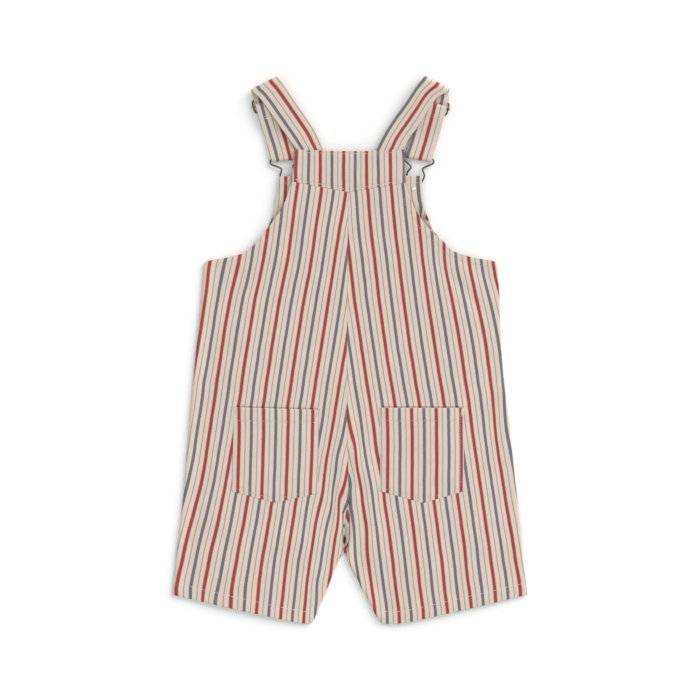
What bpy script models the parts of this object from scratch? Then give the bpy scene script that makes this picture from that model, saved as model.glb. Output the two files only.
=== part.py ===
"""Child's bib overalls with short legs, laid out flat on the front with the back up.

Every plan position is read on a 700 mm square cutting table: x to the right, y down
towards the hems, in millimetres.  TABLE_CENTRE is the point that becomes the origin.
Heights are in millimetres above the surface that the garment lies on.
"""

import math

import bmesh
import bpy
import numpy as np
from mathutils import Vector
from mathutils.geometry import delaunay_2d_cdt

MM = 0.001

# ---------------------------------------------------------------- driving sizes, mm
TABLE_CENTRE = (349.5, 350.25)
CLOTH = 1.2            # thickness of a cloth panel, with its turnings
SEAM_GAP = 0.3         # between two pieces at a seam
LAYER_GAP = 0.3        # between two layers that lie on each other
LOFT = 1.9             # how far the back stands off the front in the middle
LOFT_REACH = 26.0      # distance from a closed edge over which it does so
GRID = 17.0            # facet size of the cloth
GRID_BIB = 7.5         # facet size over the buttons
BIB_GRID_BELOW = 222.0  # table y where the finer facets end
STRAP_THICK = 1.2
STRAP_STEP = 4         # facets between two rows of a strap table

BUTTON_HEAD_R = 8.0
BUTTON_HEAD_H = 1.7
BUTTON_NECK_R = 2.9
BUTTON_TOP = 4.0
TACK_R = 3.0
TACK_H = 0.8
HOOK_WIRE = 1.7
SLIDER_WIRE = 1.6
SLIDER_HALF_LONG = 14.8
SLIDER_HALF_WIDE = 6.2
SLIDER_BAR_Z = 4.0

BIB_LIFT = 4.4         # the bib stands this high over a button
BACK_LIFT = 5.3        # and the back this high over tack and strap
LIFT_FLAT = 10.0
LIFT_REACH = 44.0

# ---------------------------------------------------------------- plan tables, mm
# Side seams below the armholes: how wide the garment lies at each height.
SIDE_COLUMNS = ("y", "left_x", "right_x")
SIDE = [
    (267.0, 203.3, 495.4),
    (300.0, 200.8, 498.0),
    (340.0, 196.6, 501.0),
    (380.0, 192.8, 504.0),
    (420.0, 189.0, 508.7),
    (460.0, 185.6, 512.7),
    (500.0, 182.3, 516.9),
    (540.0, 177.5, 521.3),
    (580.0, 173.4, 525.2),
    (595.0, 171.7, 526.9),
]

# Armhole of the back, from the yoke's corner down and out to the side seam.
ARMHOLE_COLUMNS = ("left_x", "left_y", "right_x", "right_y")
ARMHOLE = [
    (291.2, 181.8, 404.3, 183.5),
    (283.2, 205.0, 412.0, 205.0),
    (270.2, 225.0, 424.8, 225.0),
    (262.6, 234.4, 433.6, 234.0),
    (255.2, 243.6, 442.1, 241.0),
    (248.2, 249.8, 447.8, 247.6),
    (241.4, 254.0, 454.8, 252.2),
    (225.2, 258.4, 467.5, 256.7),
    (210.5, 261.2, 480.5, 259.8),
    (206.0, 262.4, 490.5, 261.8),
    (204.0, 264.2, 494.3, 263.6),
]

# Side edge of the bib, from its top corner down to where it passes under the back.
BIB_SIDE_COLUMNS = ("left_x", "left_y", "right_x", "right_y")
BIB_SIDE = [
    (279.2, 176.6, 420.8, 176.2),
    (278.0, 190.0, 421.6, 190.0),
    (275.4, 202.0, 423.2, 204.0),
    (272.8, 214.0, 426.4, 215.0),
    (270.2, 221.0, 429.4, 222.0),
    (264.6, 231.0, 433.4, 231.0),
]

# Inner leg: from the point of the crotch to the hem, for each leg.
INSEAM_COLUMNS = ("left_x", "left_y", "right_x", "right_y")
INSEAM = [
    (347.6, 499.0, 348.6, 499.0),
    (344.4, 506.0, 348.9, 510.0),
    (342.4, 513.0, 348.9, 524.0),
    (342.2, 530.0, 348.6, 538.0),
    (342.2, 546.0, 346.6, 549.0),
    (340.6, 553.5, 345.8, 554.5),
    (338.6, 559.5, 347.2, 561.7),
    (334.2, 570.0, 352.2, 571.7),
    (330.4, 580.2, 357.6, 581.0),
    (326.7, 589.3, 360.9, 588.6),
    (321.2, 602.2, 367.2, 599.6),
    (317.0, 612.1, 371.8, 609.7),
    (314.2, 619.0, 376.2, 617.4),
]

# Hem: from the inner corner out to the side seam.
HEM_COLUMNS = ("left_x", "left_y", "right_x", "right_y")
HEM = [
    (311.4, 623.0, 379.4, 622.4),
    (305.0, 624.0, 386.0, 624.0),
    (285.0, 620.6, 402.0, 623.4),
    (256.0, 614.2, 424.0, 619.0),
    (232.0, 609.0, 448.0, 613.6),
    (200.0, 601.6, 487.0, 604.6),
]

# Centre back seam and centre front seam, from top to crotch.
CENTRE_BACK = [(347.8, 192.8), (347.0, 262.0), (346.3, 340.0), (346.6, 420.0), (347.6, 470.0), (348.1, 499.0)]
CENTRE_FRONT = [(349.6, 176.0), (348.6, 262.0), (347.2, 420.0), (345.4, 500.0), (344.6, 552.5)]

# Yoke: top edge a little dipped, slanted sides, lower edge pointed.
YOKE = {
    "top": [(295.4, 150.0), (322.0, 151.2), (350.0, 151.6), (378.0, 151.2), (403.9, 150.0)],
    "right": (404.2, 183.5),
    "point": (347.8, 192.8),
    "left": (291.4, 181.8),
}

# Patch pockets: top edge, sides, lower corners and point.
POCKET_COLUMNS = ("corner", "x", "y")
POCKET_LEFT = [
    ("top_left", 233.4, 407.6),
    ("top_right", 318.8, 410.0),
    ("low_right", 317.2, 493.6),
    ("point", 274.2, 502.8),
    ("low_left", 231.2, 491.4),
]
POCKET_RIGHT = [
    ("top_left", 379.2, 408.0),
    ("top_right", 463.4, 408.2),
    ("low_right", 463.4, 491.4),
    ("point", 422.6, 503.2),
    ("low_left", 380.0, 491.4),
]

# Hardware: middle of each hook's top bar, turn of its axis from straight down towards
# the right, and distance along that axis to the button.
HOOK_COLUMNS = ("side", "x", "y", "turn_deg", "to_button")
HOOKS = [
    ("left", 284.3, 157.0, 12.4, 33.0),
    ("right", 418.2, 157.0, -9.4, 33.0),
]
# Half outline of the bent wire: distance along the axis, half width there.
HOOK_WIRE_COLUMNS = ("along", "half")
HOOK_SHAPE = [
    (0.0, 13.7),
    (0.7, 14.9),
    (2.8, 15.5),
    (4.9, 14.6),
    (7.6, 10.4),
    (9.8, 7.2),
    (11.6, 5.9),
    (13.8, 6.7),
    (16.4, 8.3),
    (19.2, 8.7),
    (23.5, 7.4),
    (28.5, 5.2),
    (33.0, 4.5),
    (36.6, 3.9),
    (39.0, 2.3),
]

# Sliders: middle of the centre bar and turn of the strap there from straight down.
SLIDER_COLUMNS = ("side", "x", "y", "turn_deg")
SLIDERS = [
    ("left", 267.2, 103.4, 15.9),
    ("right", 433.2, 105.7, -15.0),
]

# Straps.  Each row is one section: its left and right edge on the table, and the
# height of its middle line.  A "turn" row closes a run, and the cloth rolls over there
# to the height of the next run's first row.
STRAP_COLUMNS = ("place", "left_x", "left_y", "right_x", "right_y", "z")
STRAP_LEFT = [
    ("sewn_end", 302.4, 159.0, 328.6, 160.2, 5.9),
    ("yoke_edge", 295.8, 150.0, 323.2, 150.8, 5.8),
    ("back_run", 287.6, 138.6, 315.0, 132.3, 5.9),
    ("back_run", 279.3, 127.0, 304.8, 116.6, 6.4),
    ("back_run", 268.5, 111.4, 292.2, 98.3, 7.6),
    ("back_run", 259.4, 99.2, 283.8, 86.1, 8.8),
    ("shoulder_turn", 253.2, 93.6, 279.0, 80.1, 9.6),
    ("front_run", 251.8, 95.2, 277.8, 82.2, 0.9),
    ("slider_top_bar", 253.5, 101.0, 278.9, 93.8, 2.6),
    ("slider_middle", 255.1, 107.0, 280.5, 99.8, 0.9),
    ("slider_low_bar", 256.8, 113.0, 282.2, 105.8, 2.6),
    ("below_slider", 259.2, 120.4, 284.6, 113.0, 0.9),
    ("front_run", 265.0, 139.5, 290.6, 133.0, 0.9),
    ("hook_turn", 270.8, 159.9, 297.0, 157.2, 0.8),
    ("return_run", 270.8, 159.9, 297.0, 157.2, 4.4),
    ("return_run", 265.0, 139.5, 290.6, 133.0, 2.6),
    ("return_run", 259.6, 123.0, 285.0, 115.6, 4.6),
    ("over_low_bar", 256.8, 113.0, 282.2, 105.8, 5.8),
    ("slider_turn", 255.1, 107.0, 280.5, 99.8, 5.8),
    ("stitched_end", 255.1, 107.0, 280.5, 99.8, 2.3),
    ("stitched_end", 256.8, 113.0, 282.2, 105.8, 4.1),
    ("stitched_end", 259.0, 120.0, 284.4, 112.6, 3.1),
]
STRAP_RIGHT = [
    ("sewn_end", 370.8, 160.0, 398.0, 158.6, 5.9),
    ("yoke_edge", 375.6, 150.6, 403.0, 149.6, 5.8),
    ("back_run", 383.9, 134.4, 407.6, 140.0, 5.9),
    ("back_run", 393.5, 119.0, 415.1, 130.1, 6.4),
    ("back_run", 404.5, 104.2, 423.9, 116.4, 7.6),
    ("back_run", 413.9, 89.9, 435.2, 99.6, 8.8),
    ("shoulder_turn", 421.4, 80.0, 446.4, 92.8, 9.6),
    ("front_run", 422.4, 81.4, 447.8, 93.4, 0.9),
    ("front_run", 423.4, 89.6, 448.2, 98.0, 1.2),
    ("slider_top_bar", 422.0, 96.2, 447.3, 102.9, 2.6),
    ("slider_middle", 420.3, 102.3, 445.7, 109.1, 0.9),
    ("slider_low_bar", 418.7, 108.3, 444.1, 115.1, 2.6),
    ("below_slider", 416.7, 115.6, 442.2, 122.5, 0.9),
    ("front_run", 411.6, 134.8, 437.2, 141.4, 0.9),
    ("hook_turn", 404.9, 155.5, 431.6, 160.1, 0.8),
    ("return_run", 404.9, 155.5, 431.6, 160.1, 4.4),
    ("return_run", 411.6, 134.8, 437.2, 141.4, 2.6),
    ("return_run", 416.0, 118.4, 441.4, 125.4, 4.6),
    ("over_low_bar", 418.7, 108.3, 444.1, 115.1, 5.8),
    ("slider_turn", 420.3, 102.3, 445.7, 109.1, 5.8),
    ("stitched_end", 420.3, 102.3, 445.7, 109.1, 2.3),
    ("stitched_end", 418.7, 108.3, 444.1, 115.1, 4.1),
    ("stitched_end", 416.8, 115.2, 442.2, 122.0, 3.1),
]

# ---------------------------------------------------------------- colours
CANVAS = (0.73, 0.64, 0.52, 1.0)
BRASS = (0.21, 0.165, 0.10, 1.0)
NICKEL = (0.72, 0.72, 0.74, 1.0)


def clear_scene():
    for obj in list(bpy.data.objects):
        bpy.data.objects.remove(obj)


def make_material(name, colour, roughness, metallic):
    material = bpy.data.materials.new(name)
    material.use_nodes = True
    shader = material.node_tree.nodes["Principled BSDF"]
    shader.inputs["Base Color"].default_value = colour
    shader.inputs["Roughness"].default_value = roughness
    shader.inputs["Metallic"].default_value = metallic
    return material


# ---------------------------------------------------------------- plan geometry
def to_frame(x, y, z):
    """Table position and height in mm to metres about the origin."""
    return ((x - TABLE_CENTRE[0]) * MM, (TABLE_CENTRE[1] - y) * MM, z * MM)


def spline(rows, step):
    """A smooth curve through the rows, as points about step apart; ends included."""
    rows = [np.array(r, float) for r in rows]
    ends = [2 * rows[0] - rows[1]] + rows + [2 * rows[-1] - rows[-2]]
    out = []
    for i in range(1, len(ends) - 2):
        a, b, c, d = ends[i - 1], ends[i], ends[i + 1], ends[i + 2]
        count = max(1, round(float(np.linalg.norm((c - b)[:2])) / step))
        for k in range(count):
            t = k / count
            out.append(
                0.5 * (2 * b + (c - a) * t + (2 * a - 5 * b + 4 * c - d) * t * t
                       + (3 * b - a - 3 * c + d) * t ** 3)
            )
    out.append(rows[-1])
    return out


def pick(table, side):
    """The (x, y) columns of one side from a left/right table."""
    first = 0 if side == "left" else 2
    return [(row[first], row[first + 1]) for row in table]


def side_seam(side):
    column = 1 if side == "left" else 2
    return [(row[column], row[0]) for row in SIDE]


def shifted(points, dx, dy=0.0):
    return [(p[0] + dx, p[1] + dy) for p in points]


def inward(points, side, amount):
    """Moves points towards the garment's middle."""
    return shifted(points, amount if side == "left" else -amount)


def back_outline(side, step):
    """Closed outline of one back panel, from the yoke round the centre seam and leg."""
    sign = -1 if side == "left" else 1
    corner = pick(ARMHOLE, side)[0]
    point = YOKE["point"]
    yoke_seam = [(corner[0], corner[1] + SEAM_GAP), (point[0] + sign * SEAM_GAP / 2, point[1] + SEAM_GAP)]
    centre = shifted(CENTRE_BACK, sign * SEAM_GAP / 2)
    centre[0] = yoke_seam[1]
    outline = spline(yoke_seam, step)[:-1]
    outline += spline(centre, step * 1.4)[:-1]
    outline += spline(pick(INSEAM, side), step * 0.8)
    outline += spline(pick(HEM, side) + [side_seam(side)[-1]], step)[:-1]
    outline += spline(list(reversed(side_seam(side))), step * 1.4)
    armhole = [(p[0], p[1]) for p in reversed(pick(ARMHOLE, side))]
    armhole[-1] = (armhole[-1][0], armhole[-1][1] + SEAM_GAP)
    outline += spline(armhole, step * 0.8)[:-1]
    return outline


def front_outline(side, step):
    """Closed outline of one front panel: it follows the back below the armhole."""
    sign = -1 if side == "left" else 1
    centre = shifted(CENTRE_FRONT, sign * SEAM_GAP / 2)
    bib = pick(BIB_SIDE, side)
    outline = spline([bib[0], centre[0]], step)[:-1]
    outline += spline(centre, step * 1.4)
    leg = [p for p in pick(INSEAM, side) if p[1] > 556.0]
    outline += spline(leg, step * 0.8)
    outline += spline(pick(HEM, side) + [side_seam(side)[-1]], step)[:-1]
    outline += spline(list(reversed(side_seam(side))), step * 1.4)
    hidden = [(p[0], p[1] + 0.8) for p in reversed(pick(ARMHOLE, side)[4:])]
    outline += spline(hidden + list(reversed(bib)), step * 0.8)[:-1]
    return outline


def yoke_outline(step):
    outline = spline(YOKE["top"], step)[:-1]
    outline += spline([YOKE["top"][-1], YOKE["right"]], step)[:-1]
    outline += spline([YOKE["right"], YOKE["point"]], step)[:-1]
    outline += spline([YOKE["point"], YOKE["left"]], step)[:-1]
    outline += spline([YOKE["left"], YOKE["top"][0]], step)[:-1]
    return outline


def pocket_outline(table, step):
    corners = [(row[1], row[2]) for row in table]
    outline = []
    for a, b in zip(corners, corners[1:] + corners[:1]):
        outline += spline([a, b], step)[:-1]
    return outline


# ---------------------------------------------------------------- heights
def ease(t):
    t = min(max(t, 0.0), 1.0)
    return t * t * (3 - 2 * t)


def distance_to_line(x, y, points):
    """Shortest distance from (x, y) to a chain of points."""
    best = 1e9
    for (ax, ay), (bx, by) in zip(points, points[1:]):
        dx, dy = bx - ax, by - ay
        t = ((x - ax) * dx + (y - ay) * dy) / max(dx * dx + dy * dy, 1e-9)
        t = min(max(t, 0.0), 1.0)
        best = min(best, math.hypot(x - ax - t * dx, y - ay - t * dy))
    return best


def hook_axis(hook):
    """Middle of the top bar, and the unit vectors across and along the hook."""
    _, x, y, turn, _ = hook
    a = math.radians(turn)
    return (x, y), (math.cos(a), -math.sin(a)), (math.sin(a), math.cos(a))


def button_place(hook):
    (x, y), _, along = hook_axis(hook)
    return (x + along[0] * hook[4], y + along[1] * hook[4])


BUTTONS = {hook[0]: button_place(hook) for hook in HOOKS}
CLOSED_EDGES = [
    side_seam("left"),
    side_seam("right"),
    pick(INSEAM, "left")[1:],
    pick(INSEAM, "right")[1:],
]


def bib_lift(x, y):
    """How far the bib stands off the surface: it rests on button heads and hook wires."""
    total = 0.0
    for hook in HOOKS:
        (hx, hy), _, along = hook_axis(hook)
        bx, by = BUTTONS[hook[0]]
        spine = [(bx, by + 2.0), (hx + along[0] * 14.0, hy + along[1] * 14.0)]
        d = distance_to_line(x, y, spine)
        total = max(total, BIB_LIFT * ease((LIFT_REACH - d) / (LIFT_REACH - LIFT_FLAT)))
    return total


def front_top(x, y):
    return bib_lift(x, y) + CLOTH


def back_under(x, y):
    """Underside of the back: on the front, a little lofted, high over tacks and straps."""
    edge = min(distance_to_line(x, y, line) for line in CLOSED_EDGES)
    loft = LOFT * (1 - math.exp(-((edge / LOFT_REACH) ** 2)))
    if y < 300.0:  # above the chest the two layers close up towards the armholes
        loft *= 1 - 0.55 * ease((300.0 - y) / 90.0)
    high = 0.0
    for side, foot in (("left", (308.0, 152.0)), ("right", (392.0, 152.0))):
        d = distance_to_line(x, y, [BUTTONS[side], foot])
        high = max(high, BACK_LIFT * ease((LIFT_REACH + 10 - d) / (LIFT_REACH + 10 - 14.0)))
    return CLOTH + LAYER_GAP + loft + high


# ---------------------------------------------------------------- solids
def finish(name, bm, material, smooth=False):
    bmesh.ops.recalc_face_normals(bm, faces=bm.faces)
    mesh = bpy.data.meshes.new(name)
    bm.to_mesh(mesh)
    bm.free()
    if smooth:
        mesh.shade_smooth()
        mesh.set_sharp_from_angle(angle=math.radians(40))
    obj = bpy.data.objects.new(name, mesh)
    bpy.context.scene.collection.objects.link(obj)
    obj.data.materials.append(material)
    return obj


def inside(x, y, outline):
    hit = False
    for (ax, ay), (bx, by) in zip(outline, outline[1:] + outline[:1]):
        if (ay > y) != (by > y) and x < (bx - ax) * (y - ay) / (by - ay) + ax:
            hit = not hit
    return hit


def grid_points(outline, spacing, top=-1e9, bottom=1e9):
    """Points on a staggered grid inside the outline, clear of its edge."""
    xs = [p[0] for p in outline]
    ys = [p[1] for p in outline]
    ring = outline + outline[:1]
    found = []
    rows = int((max(ys) - min(ys)) / (spacing * 0.87)) + 1
    for j in range(1, rows):
        y = min(ys) + j * spacing * 0.87
        if not top <= y < bottom:
            continue
        x = min(xs) + (0.5 if j % 2 else 0.0) * spacing
        while x < max(xs):
            if inside(x, y, outline) and distance_to_line(x, y, ring) > spacing * 0.5:
                found.append((x, y))
            x += spacing
    return found


def cloth(name, outline, under, thickness, material, spacings):
    """A cloth piece: its outline and inner points joined in triangles, over and under."""
    outline = [(float(p[0]), float(p[1])) for p in outline]
    points = list(outline)
    for spacing, top, bottom in spacings:
        points += grid_points(outline, spacing, top, bottom)
    edges = [(i, (i + 1) % len(outline)) for i in range(len(outline))]
    verts, _, faces, _, _, _ = delaunay_2d_cdt([Vector(p) for p in points], edges, [], 1, 1e-5)
    bm = bmesh.new()
    low, high = [], []
    for v in verts:
        z = under(v.x, v.y)
        low.append(bm.verts.new(to_frame(v.x, v.y, z)))
        high.append(bm.verts.new(to_frame(v.x, v.y, z + thickness)))
    rim = {}
    for face in faces:
        bm.faces.new([high[i] for i in face])
        bm.faces.new([low[i] for i in reversed(face)])
        for a, b in zip(face, face[1:] + face[:1]):
            rim[(a, b)] = rim.get((a, b), 0) + 1
    for a, b in rim:
        if (b, a) not in rim:
            bm.faces.new([high[a], low[a], low[b]])
            bm.faces.new([high[a], low[b], high[b]])
    bmesh.ops.delete(bm, geom=[v for v in bm.verts if not v.link_faces], context="VERTS")
    return finish(name, bm, material)


def roll(first, last, forward, steps):
    """Half a turn of a strap from one section to the next, about the line between them."""
    middle, radius = (first[4] + last[4]) / 2, (first[4] - last[4]) / 2
    out = []
    for k in range(1, steps):
        a = math.pi * k / steps
        plan = first[:4] + (last[:4] - first[:4]) * k / steps
        plan = plan + np.tile(forward, 2) * abs(radius) * math.sin(a)
        out.append(np.append(plan, middle + radius * math.cos(a)))
    return out


def strap_sections(table):
    """All sections of a strap, with the turns between its runs filled in."""
    runs, run = [], []
    for row in table:
        run.append(row[1:])
        if row[0].endswith("_turn"):
            runs.append(run)
            run = []
    runs.append(run)
    sections = []
    for i, rows in enumerate(runs):
        rows = [np.array(r, float) for r in rows]
        ends = [rows[0]] + rows + [rows[-1]]
        for k in range(1, len(ends) - 2):
            a, b, c, d = ends[k - 1:k + 3]
            for j in range(STRAP_STEP):
                t = j / STRAP_STEP
                sections.append(
                    0.5 * (2 * b + (c - a) * t + (2 * a - 5 * b + 4 * c - d) * t * t
                           + (3 * b - a - 3 * c + d) * t ** 3)
                )
        sections.append(rows[-1])
        if i + 1 < len(runs):
            last, nxt = rows[-1], runs[i + 1][0]
            across = np.array([last[2] - last[0], last[3] - last[1]])
            across /= np.linalg.norm(across)
            forward = np.array([across[1], -across[0]])
            travel = last[:2] + last[2:4] - rows[-2][:2] - rows[-2][2:4]
            if forward @ travel < 0:
                forward = -forward
            sections += roll(last, np.array(nxt, float), forward, 8)
    return sections


def strap(name, table, material):
    """A strap of doubled cloth: a flat bar carried through its sections."""
    sections = strap_sections(table)
    left = [np.array([s[0], s[1], s[4]]) for s in sections]
    right = [np.array([s[2], s[3], s[4]]) for s in sections]
    middle = [(a + b) / 2 for a, b in zip(left, right)]
    bm = bmesh.new()
    rings = []
    for i in range(len(sections)):
        along = middle[min(i + 1, len(middle) - 1)] - middle[max(i - 1, 0)]
        across = right[i] - left[i]
        normal = np.cross(across, along)
        normal *= STRAP_THICK / 2 / np.linalg.norm(normal)
        ring = [left[i] + normal, right[i] + normal, right[i] - normal, left[i] - normal]
        rings.append([bm.verts.new(to_frame(*p)) for p in ring])
    for a, b in zip(rings, rings[1:]):
        for k in range(4):
            quad = [a[k], a[(k + 1) % 4], b[(k + 1) % 4], b[k]]
            bm.faces.new(quad[:3])
            bm.faces.new([quad[0], quad[2], quad[3]])
    bm.faces.new(list(reversed(rings[0])))
    bm.faces.new(rings[-1])
    return finish(name, bm, material)


def wire(name, points, diameter, material, closed=True):
    """A bent round wire along the points (table x, table y, height)."""
    curve = bpy.data.curves.new(name, "CURVE")
    curve.dimensions = "3D"
    curve.bevel_depth = diameter / 2 * MM
    curve.bevel_resolution = 2
    curve.use_fill_caps = not closed
    line = curve.splines.new("POLY")
    line.points.add(len(points) - 1)
    for p, q in zip(line.points, points):
        p.co = (*to_frame(*q), 1.0)
    line.use_cyclic_u = closed
    obj = bpy.data.objects.new(name, curve)
    bpy.context.scene.collection.objects.link(obj)
    curve.materials.append(material)
    return obj


def hook_points(hook):
    """The closed line of one hook: top bar, shoulders, waist and the loop on the button."""
    (hx, hy), across, along = hook_axis(hook)
    half = spline(HOOK_SHAPE, 2.4)
    tip = spline([HOOK_SHAPE[-1], (39.9, 0.0)], 2.4)[1:-1]
    ring = [(a, w) for a, w in half + tip] + [(39.9, 0.0)]
    ring += [(a, -w) for a, w in reversed(half + tip)]
    bar_z, loop_z = 2.6, 2.9
    out = []
    for a, w in ring:
        z = bar_z + (loop_z - bar_z) * ease(a / 14.0)
        out.append((hx + across[0] * w + along[0] * a, hy + across[1] * w + along[1] * a, z))
    return out


def turned(name, place, profile, material, segments=24):
    """A round piece turned about a vertical line; profile rows are (radius, height)."""
    bm = bmesh.new()
    rings = []
    for radius, z in profile:
        ring = []
        for k in range(segments):
            a = 2 * math.pi * k / segments
            ring.append(bm.verts.new(to_frame(place[0] + radius * math.cos(a), place[1] + radius * math.sin(a), z)))
        rings.append(ring)
    for a, b in zip(rings, rings[1:]):
        for k in range(segments):
            bm.faces.new([a[k], a[(k + 1) % segments], b[(k + 1) % segments], b[k]])
    bm.faces.new(list(reversed(rings[0])))
    bm.faces.new(rings[-1])
    return finish(name, bm, material, smooth=True)


def slider(name, row, material):
    """Frame of bent wire with arched ends and a centre bar whose ends stand out."""
    _, x, y, turn = row
    a = math.radians(turn)
    across, along = (math.cos(a), -math.sin(a)), (math.sin(a), math.cos(a))
    corner = 2.6
    ring = []
    for sx, sy in ((1, -1), (1, 1), (-1, 1), (-1, -1)):
        cx, cy = sx * (SLIDER_HALF_LONG - corner), sy * (SLIDER_HALF_WIDE - corner)
        start = {(1, -1): -90, (1, 1): 0, (-1, 1): 90, (-1, -1): 180}[(sx, sy)]
        for k in range(5):
            b = math.radians(start + 22.5 * k)
            ring.append((cx + corner * math.cos(b), cy + corner * math.sin(b)))
        if sx == 1 and sy == -1 or sx == -1 and sy == 1:
            for t in (0.3, 0.5, 0.7):
                ring.append((sx * SLIDER_HALF_LONG, sy * (SLIDER_HALF_WIDE - corner) * (1 - 2 * t)))
    points = []
    low = SLIDER_WIRE / 2 + 0.02
    for u, v in ring:
        arch = ease((abs(u) - (SLIDER_HALF_LONG - corner)) / corner) * math.cos(math.pi * v / 2 / SLIDER_HALF_WIDE) ** 2
        points.append((x + across[0] * u + along[0] * v, y + across[1] * u + along[1] * v,
                       low + (SLIDER_BAR_Z - low) * arch))
    frame = wire(name, points, SLIDER_WIRE, material)
    reach = SLIDER_HALF_LONG + 1.6
    bar_points = [(x + across[0] * u, y + across[1] * u, SLIDER_BAR_Z) for u in (-reach, -8.0, 0.0, 8.0, reach)]
    bar = wire(name + "_bar", bar_points, SLIDER_WIRE + 0.1, material, closed=False)
    return join_solids(name, frame, bar, material)


def join_solids(name, first, second, material):
    """One body from two that run into each other."""
    graph = bpy.context.evaluated_depsgraph_get()
    parts = []
    for obj in (first, second):
        mesh = bpy.data.meshes.new_from_object(obj.evaluated_get(graph))
        solid = bpy.data.objects.new(obj.name + "_solid", mesh)
        bpy.context.scene.collection.objects.link(solid)
        parts.append(solid)
        bpy.data.objects.remove(obj)
    body, tool = parts
    body.name = name
    body.data.materials.clear()
    body.data.materials.append(material)
    union = body.modifiers.new("centre_bar", "BOOLEAN")
    union.operation = "UNION"
    union.solver = "EXACT"
    union.object = tool
    tool.hide_render = True
    tool.display_type = "WIRE"
    return body


def build():
    clear_scene()
    canvas = make_material("striped_canvas", CANVAS, 0.9, 0.0)
    brass = make_material("aged_brass", BRASS, 0.4, 1.0)
    nickel = make_material("tack_metal", NICKEL, 0.3, 1.0)
    root = bpy.data.objects.new("garment", None)
    bpy.context.scene.collection.objects.link(root)

    made = []
    fine = (GRID_BIB, -1e9, BIB_GRID_BELOW)
    coarse = (GRID, BIB_GRID_BELOW, 1e9)
    for side in ("left", "right"):
        made.append(cloth("front_panel_" + side, front_outline(side, 9.0), bib_lift, CLOTH, canvas, [fine, coarse]))
        made.append(cloth("back_panel_" + side, back_outline(side, 9.0), back_under, CLOTH, canvas, [fine, coarse]))
    made.append(cloth("back_yoke", yoke_outline(8.0), back_under, CLOTH, canvas, [(GRID_BIB + 1.5, -1e9, 1e9)]))

    def on_back(x, y):
        return back_under(x, y) + CLOTH + LAYER_GAP + 0.1

    made.append(cloth("back_pocket_left", pocket_outline(POCKET_LEFT, 14.0), on_back, CLOTH, canvas, [(GRID, -1e9, 1e9)]))
    made.append(cloth("back_pocket_right", pocket_outline(POCKET_RIGHT, 14.0), on_back, CLOTH, canvas, [(GRID, -1e9, 1e9)]))
    made.append(strap("strap_left", STRAP_LEFT, canvas))
    made.append(strap("strap_right", STRAP_RIGHT, canvas))

    for hook in HOOKS:
        side = hook[0]
        made.append(wire("hook_" + side, hook_points(hook), HOOK_WIRE, brass))
        made.append(turned("bib_button_" + side, BUTTONS[side], [
            (BUTTON_HEAD_R - 1.2, 0.0), (BUTTON_HEAD_R, 0.5), (BUTTON_HEAD_R, 1.1), (BUTTON_HEAD_R - 1.5, BUTTON_HEAD_H),
            (BUTTON_NECK_R, BUTTON_HEAD_H), (BUTTON_NECK_R, BUTTON_TOP)], brass))
        tack_under = BIB_LIFT + CLOTH + LAYER_GAP
        made.append(turned("button_tack_" + side, BUTTONS[side], [
            (TACK_R, tack_under), (TACK_R, tack_under + 0.35), (TACK_R - 1.0, tack_under + TACK_H)], nickel, 16))
    for row in SLIDERS:
        made.append(slider("slider_" + row[0], row, brass))
    for obj in made:
        obj.parent = root


build()
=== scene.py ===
"""Looks of the child's bib overalls: cloth shells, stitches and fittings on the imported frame.

Plan positions are read on the same 700 mm cutting table as the solids: x to the right,
y down towards the hems, in millimetres; heights are millimetres above the surface.
"""

import math

import bpy
import numpy as np
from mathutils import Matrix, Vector
from mathutils.geometry import delaunay_2d_cdt


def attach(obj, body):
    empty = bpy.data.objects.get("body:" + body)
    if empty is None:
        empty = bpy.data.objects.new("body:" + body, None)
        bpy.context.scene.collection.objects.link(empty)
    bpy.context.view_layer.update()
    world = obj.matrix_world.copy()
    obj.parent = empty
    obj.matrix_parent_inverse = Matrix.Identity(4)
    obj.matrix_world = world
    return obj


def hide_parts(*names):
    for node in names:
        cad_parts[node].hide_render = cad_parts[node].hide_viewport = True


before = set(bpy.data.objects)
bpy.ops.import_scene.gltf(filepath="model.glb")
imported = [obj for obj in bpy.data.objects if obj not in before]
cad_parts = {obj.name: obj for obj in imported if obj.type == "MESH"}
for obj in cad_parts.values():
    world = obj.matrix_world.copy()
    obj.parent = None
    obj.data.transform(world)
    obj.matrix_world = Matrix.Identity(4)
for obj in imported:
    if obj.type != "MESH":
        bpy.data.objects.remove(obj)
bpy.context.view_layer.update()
MM = 0.001

# ---------------------------------------------------------------- sizes, mm (as in the solids)
TABLE_CENTRE = (349.5, 350.25)
CLOTH = 1.2
SEAM_GAP = 0.06  # the cloth of two pieces all but meets at a seam
LAYER_GAP = 0.3
LOFT = 1.9
LOFT_REACH = 26.0
BIB_LIFT = 4.4
BACK_LIFT = 5.3
LIFT_FLAT = 10.0
LIFT_REACH = 44.0
BRIDGE_REACH = 112.0
SIDE_FULLNESS = 1.4

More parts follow.
